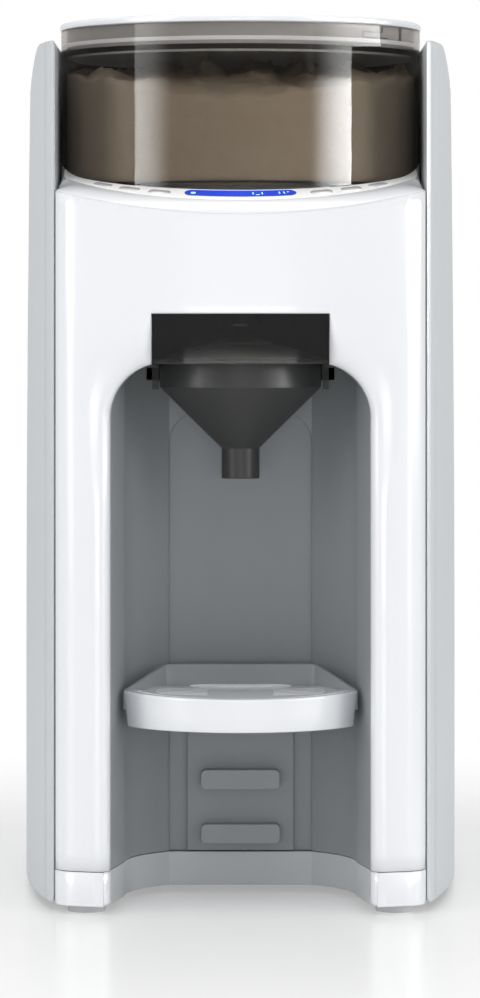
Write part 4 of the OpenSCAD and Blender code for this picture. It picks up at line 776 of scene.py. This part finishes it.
# A turned lid: a dished top, a rounded rim, and a skirt with a ridge inside the hopper
def lidPiece():
    d = lid
    top, r, s = d["top"], d["rimR"], d["skirtR"]
    profile = [(0.02, top - 1.8), (30, top - 1.75), (60, top - 1.6), (72, top - 1.2), (75, top - 0.7),
               (76.6, top - 0.2), (77.6, top)]
    profile += arc(r - 1.2, top - 1.2, 1.2, 75, 0, 6).tolist()
    ridge, low = d["ridge"], d["skirtLow"]
    profile += [(r, top - 2.2), (r - 0.2, top - 2.9), (r - 0.9, top - 3.1), (s + 0.6, top - 3.15),
                (s, top - 3.5), (s, ridge + 1.2), (s + 0.35, ridge + 0.8), (s + 0.35, ridge - 0.8),
                (s, ridge - 1.2), (s, low + 0.5), (s - 0.5, low), (s - 1.6, low), (s - 2.2, low + 0.6),
                (s - 2.2, top - 5), (s - 4, top - 4.6), (0.02, top - 4.6)]
    points, faces = turned(profile, (0, d["centreY"]), 200)
    piece = meshPiece("lidShell", points, faces, "whiteGloss", "lid", 50)
    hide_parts("lid")


lidMarks = {"raise": 0.14, "line": 0.4, "slot": (42.9, 52.2), "slotEnd": 55.5, "low": 372.3, "high": 374.7,
            "top": 377.3, "tick": (62.6, 64.4)}


# A thin bar bent round the lid's skirt: a loop of its four edges swept from one angle to the other
def skirtBar(name, fromAngle, toAngle, low, high, finish):
    a = np.radians(np.linspace(fromAngle, toAngle, 9))[:, None]
    r = lid["skirtR"] + np.array([[-0.3, 0.08, lidMarks["raise"], lidMarks["raise"], 0.08, -0.3]])
    z = np.array([[low, low, low + 0.06, high - 0.06, high, high]]) + 0 * a
    points = np.stack([r * np.sin(a), lid["centreY"] - r * np.cos(a), z], 2).reshape(-1, 3)
    faces = gridFaces(9, 6, closeColumns=True)[:, ::-1].tolist()
    faces += [list(range(6)), list(range(48, 54))[::-1]]
    meshPiece(name, points, faces, finish, "lid", 40)


# The bayonet slot's four edges and the tick beside it, as two angles and two heights each
def lidMarking():
    m = lidMarks
    left, right = m["slot"]
    low, high, top, line = m["low"], m["high"], m["top"], m["line"]
    turn = math.degrees(line / lid["skirtR"]) * 1.4
    bars = [(left, m["slotEnd"], low, low + line), (left, left + turn * 1.6, low + line, high),
            (left, right, high, high + line), (right, right + turn, high + line, top),
            (m["tick"][0], m["tick"][1], low - 0.6, top)]
    for i, bar in enumerate(bars):
        skirtBar("skirtMark%d" % (i + 1), *bar, "funnelSmoke")


lidPiece()
lidMarking()
print("lid made")


base = {"low": 3.6, "top": 18.0, "roll": 1.6, "outset": 0.12}


# The foot of one column: the fascia's cross-section at its foot, carried down to the feet
def baseColumn(sign):
    b, f = base, fascia
    contact, centreX, centreY, edgeX = cornerArc()
    theta = np.linspace(0, math.pi / 2, 10)
    lipX = f["lipX"] + f["columnLip"] * (1 - np.cos(theta))
    lip = np.stack([lipX, frontY(lipX) + f["columnDepth"] * (1 - np.sin(theta))], 1)
    runX = np.linspace(lipX[-1], edgeX, 14)[1:]
    run = np.stack([runX, frontY(runX)], 1)
    turn = arc(centreX, centreY, f["cornerR"], math.degrees(-math.pi / 2 + contact), 0, 9)[1:]
    line = np.vstack([[(f["lipX"], f["returnY"])], lip, run, turn, [(f["halfWidth"], f["endY"])]])
    step = np.gradient(line, axis=0)
    out = np.stack([step[:, 1], -step[:, 0]], 1) / np.hypot(step[:, 0], step[:, 1])[:, None]
    low, top = b["low"], b["top"]
    z = np.array([low, low + 0.3, low + 0.9, low + b["roll"], 10, top - 0.5, top, top])
    inset = np.array([1.5, 0.8, 0.25, 0, 0, 0, 0.4, 4])
    spots = line[None, :, :] + out[None, :, :] * (b["outset"] - inset)[:, None, None]
    points = np.concatenate([spots * (sign, 1), np.broadcast_to(z[:, None, None], spots.shape[:2] + (1,))], 2)
    faces = gridFaces(len(z), len(line))
    piece = meshPiece("baseColumn" + ("Right" if sign > 0 else "Left"), points.reshape(-1, 3),
                      faces if sign > 0 else faces[:, ::-1], "whiteGloss", "machine", 50)


for sign in (-1, 1):
    baseColumn(sign)
print("base columns made")


tray = {"top": 92.8, "height": 15.4, "cornerX": 50.6, "cornerY": -130, "frontY": -164.5, "backR": 46.4,
        "centreY": -119, "backY": -92, "round": 3.0, "taper": 1.8, "slitX": (14, 36), "slitY": -141,
        "slitPitch": 7, "slitW": 3.0, "slits": 5, "slitDepth": 3, "grateInset": 5.4, "grateWall": 0.9}


# Outline of the tray from above: the front arc, rounded corners, the niche's round back and a
# straight rear edge, closed; inset moves each point straight towards the tray's middle
def trayOutline(inset=0.0, count=260):
    t = tray
    depth = t["cornerY"] - t["frontY"]
    r = (t["cornerX"] ** 2 + depth ** 2) / (2 * depth)
    half = math.asin(t["cornerX"] / r)
    a = np.linspace(-half, half, 60)
    front = np.stack([r * np.sin(a), t["frontY"] + r - r * np.cos(a)], 1)
    reach = t["backY"] - t["centreY"]
    low = math.asin(reach / t["backR"])
    b = np.linspace(0, low, 14)
    back = np.stack([t["backR"] * np.cos(b), t["centreY"] + t["backR"] * np.sin(b)], 1)
    line = np.vstack([front, back, (back * (-1, 1))[::-1]])
    step = np.hypot(*np.diff(np.vstack([line, line[:1]]), axis=0).T)
    along = np.concatenate([[0], np.cumsum(step)])
    s = np.linspace(0, along[-1], 2400, endpoint=False)
    x = np.interp(s, along, np.append(line[:, 0], line[0, 0]))
    y = np.interp(s, along, np.append(line[:, 1], line[0, 1]))
    width = int(t["round"] / along[-1] * 2400)
    kernel = np.ones(2 * width + 1) / (2 * width + 1)
    x, y = (np.convolve(np.concatenate([v[-width:], v, v[:width]]), kernel, "valid") for v in (x, y))
    pick = np.linspace(0, 2400, count, endpoint=False).astype(int)
    spot = np.stack([x, y], 1)[pick]
    arm = spot - (0, t["centreY"])
    return spot - arm / np.hypot(*arm.T)[:, None] * inset


# Rim and floor of the tray in rings from the underside, up the tapered front, over the rim and
# down to the floor under the grate
def trayPiece():
    t = tray
    top, h = t["top"], t["height"]
    foot = t["taper"]
    profile = [(12, -h + 2.6), (5, -h + 1.4), (foot + 1.5, -h + 0.1), (foot + 0.8, -h),
               (foot + 0.2, -h + 0.25), (foot - 0.1, -h + 0.9), (0.9, -h / 2), (0.12, -1.3),
               (0.0, -0.8), (0.15, -0.35), (0.5, -0.08),
               (0.9, 0), (3.9, 0), (4.5, -0.12), (4.9, -0.5), (5.0, -1.2), (5.0, -5.6), (30, -5.8)]
    count = 260
    rings = [np.column_stack([trayOutline(inset, count), np.full(count, top + z)]) for inset, z in profile]
    points = np.stack(rings, 0)
    sag = 1.2 * (1 - np.clip(np.abs(points[..., 0]) / t["cornerX"], 0, 1) ** 2)
    lift = np.clip((points[..., 2] - (top - h)) / h, 0, 1)
    points[..., 2] -= sag * lift * (points[..., 1] < t["centreY"] + 20)
    faces = gridFaces(len(rings), count, closeColumns=True).tolist()
    faces += [list(range(count))[::-1], list(range((len(rings) - 1) * count, len(rings) * count))]
    piece = meshPiece("trayShell", points.reshape(-1, 3), faces, "whiteGloss", "tray", 40)
    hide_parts("tray")


# Grate: a plate with five sunk slits each side, as a height grid whose rows and columns double at
# the slits' edges, inside the tray's rim
def gratePiece():
    t = tray
    line = trayOutline(t["grateInset"])
    right = line[line[:, 0] > 0]
    order = np.argsort(right[:, 1])
    y0, y1 = line[:, 1].min(), line[:, 1].max()
    starts = t["slitY"] + np.arange(t["slits"]) * t["slitPitch"]
    edges = np.repeat(np.stack([starts, starts + t["slitW"]], 1).ravel(), 2)
    sunkY = np.tile([False, True, True, False], t["slits"])
    fillY = np.concatenate([np.linspace(y0 + 0.05, t["slitY"] - 0.6, 16),
                            np.linspace(starts[-1] + t["slitW"] + 0.6, y1 - 0.05, 12)])
    y = np.concatenate([edges, fillY])
    sunk = np.concatenate([sunkY, np.zeros(len(fillY), bool)])
    index = np.argsort(y, kind="stable")
    y, sunk = y[index], sunk[index]
    a, b = t["slitX"]
    x = np.array([-1, -0.7, -0.35, 0, 0, 0, 0, 0, 0, 0, 0, 0, 0, 0.35, 0.7, 1.0])
    fixed = np.array([-b, -b, -b, -b, -b, -a, -a, -4, 4, a, a, b, b, b, b, b], float)
    sunkX = np.array([0, 0, 0, 0, 1, 1, 0, 0, 0, 0, 1, 1, 0, 0, 0, 0], bool)
    half = np.interp(y, right[order, 1], right[order, 0])[:, None]
    scale = np.minimum(1, half / (b + 5))
    X = fixed * scale + np.abs(x) * np.sign(fixed) * (half - b * scale)
    Y = y[:, None] + 0 * X
    top = t["top"] - 1.3 + 1.25 * (np.abs(X) / 46) ** 2
    Z = np.where(sunk[:, None] & sunkX[None, :], top - t["slitDepth"], top)
    made = np.stack([X, Y, Z], 2)
    piece = meshPiece("grateShell", made.reshape(-1, 3), gridFaces(*X.shape), "whiteGloss", "tray_grate", 30)
    wall = piece.modifiers.new("wall", "SOLIDIFY")
    wall.thickness, wall.offset = t["grateWall"] * mm, -1
    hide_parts("tray_grate")


bracket = {"wingX": (50.1, 47, 43, 39, 36.2, 34.6, 33.2, 31.5, 28, 21),
           "wingY": (-130.5, -123.4, -114.2, -105, -98.6, -95.6, -94.1, -93.4, -93.2, -93.2),
           "slope": 0.222, "wall": 2.4, "hookX": 21.0, "hookFront": -92.9, "hookBack": -80.1, "hookLow": 71.0,
           "roll": 1.2}


# Bracket: a wall along a straight wing, a round corner and the back, its top rising to the rear,
# and the block that hooks over a ledge
def bracketPiece():
    t, k = tray, bracket
    x, y = np.array(k["wingX"]), np.array(k["wingY"])
    x, y = np.concatenate([x, -x[::-1]]), np.concatenate([y, y[::-1]])
    step = np.gradient(np.stack([x, y], 1), axis=0)
    out = np.stack([step[:, 1], -step[:, 0]], 1) / np.hypot(*step.T)[:, None]
    high = t["top"] + 0.5 + k["slope"] * (y - k["wingY"][0])
    low = t["top"] - t["height"] + 1.2 + 6 * np.clip((np.abs(x) - 38) / 10, 0, 1)
    d = np.array([0, 0, 0.4, k["wall"] / 2, 2.0, k["wall"], k["wall"]])[:, None, None]
    up = np.array([0, 1, 1, 1, 1, 1, 0])[:, None]
    drop = np.array([0, 0.9, 0.2, 0, 0.2, 0.9, 0])[:, None]
    spots = np.stack([x, y], 1)[None] + out[None] * d * -1
    Z = low[None] + up * (high - low)[None] - drop
    points = np.concatenate([spots, Z[..., None]], 2)
    faces = gridFaces(7, len(x), closeRows=True).tolist()
    faces += [[i * len(x) for i in range(7)], [i * len(x) + len(x) - 1 for i in range(7)][::-1]]
    under, over, r = k["hookLow"], t["top"] + 4, k["roll"]
    rings = []
    for z, i in ((under, r), (under + 0.35, 0.35), (under + r, 0),
                 (over - r, 0), (over - 0.35, 0.35), (over, r)):
        reach, front, back = k["hookX"] - i, k["hookFront"] + i, k["hookBack"] - i * 0.2
        rings.append([(-reach, front, z), (reach, front, z), (reach, back, z), (-reach, back, z)])
    n = len(points.reshape(-1, 3))
    block = (gridFaces(6, 4, closeColumns=True) + n).tolist()
    block += [[n + 3, n + 2, n + 1, n], [n + 20, n + 21, n + 22, n + 23]]
    points = np.vstack([points.reshape(-1, 3), np.array(rings).reshape(-1, 3)])
    piece = meshPiece("trayArm", points, faces + block, "nicheGrey", "tray", 40)
    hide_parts("tray_bracket")


trayPiece()
gratePiece()
bracketPiece()
print("tray made")


ledge = {"firstZ": 26.5, "pitch": 23.7, "count": 2, "width": 34.4, "height": 8.5, "round": 2.2,
         "frontY": -87.55, "rootY": -79.9, "bevel": 1.5, "bow": 0.9, "cover": 0.05}


# Cap over a ledge: a rounded rectangle with a bevelled edge and a face bowed up at its ends
def ledgeCap(index):
    g = ledge
    z0 = g["firstZ"] + index * g["pitch"]
    hw, hh, r, front = g["width"] / 2 + g["cover"], g["height"] / 2 + g["cover"], g["round"], g["frontY"]
    corners = [(hw - r, hh - r, 0), (r - hw, hh - r, 90), (r - hw, r - hh, 180), (hw - r, r - hh, 270)]
    loop = np.vstack([arc(cx, cz, r, a, a + 90, 7) for cx, cz, a in corners])
    rings = []
    for inset, y in ((0, g["rootY"]), (0, front + 1.3), (0.25, front + 0.6), (g["bevel"] * 0.7, front + 0.15),
                     (g["bevel"], front)):
        k = loop * (1 - inset / np.array([hw, hh]))
        k[:, 1] += inset * 0.55 * (1 - 1.6 * (k[:, 0] / hw) ** 2) * (k[:, 1] < 0) * g["bow"]
        rings.append(np.column_stack([k[:, 0], np.full(len(k), y), z0 + k[:, 1]]))
    points = np.vstack(rings)
    count = len(loop)
    faces = gridFaces(len(rings), count, closeColumns=True).tolist()
    faces.append(list(range((len(rings) - 1) * count, len(rings) * count)))
    faces = [f[::-1] for f in faces]
    piece = meshPiece("ledgeCap%d" % (index + 1), points, faces, "nicheGrey", "machine", 24)


for index in range(ledge["count"]):
    ledgeCap(index)
print("ledges made")


dome = {"y": -115, "low": 234.9, "rise": 7.0, "r": 34.6}


# Dome over the funnel behind the plate: a shallow cap with a lit edge bead and an inner step
def domePiece():
    low, rise, r = dome["low"], dome["rise"], dome["r"]
    cap = (r ** 2 + rise ** 2) / (2 * rise)
    half = math.asin(r / cap)
    t = np.linspace(0, half, 16)[::-1]
    profile = [(r - 0.8, low - 0.6), (r, low - 0.4), (r, low)]
    profile += [(cap * math.sin(a), low + rise - cap + cap * math.cos(a)) for a in t[1:10]]
    stepR, stepZ = profile[-1]
    profile += [(stepR - 0.4, stepZ + 0.7), (stepR - 1.4, stepZ + 1.0), (8, stepZ + 2.6), (0.02, stepZ + 2.8)]
    points, faces = turned(profile, (0, dome["y"]), 160)
    piece = meshPiece("funnelDome", points, faces, "domeSmoke", "funnel", 40)
    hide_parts("funnel_cover")


domePiece()
print("funnel dome made")
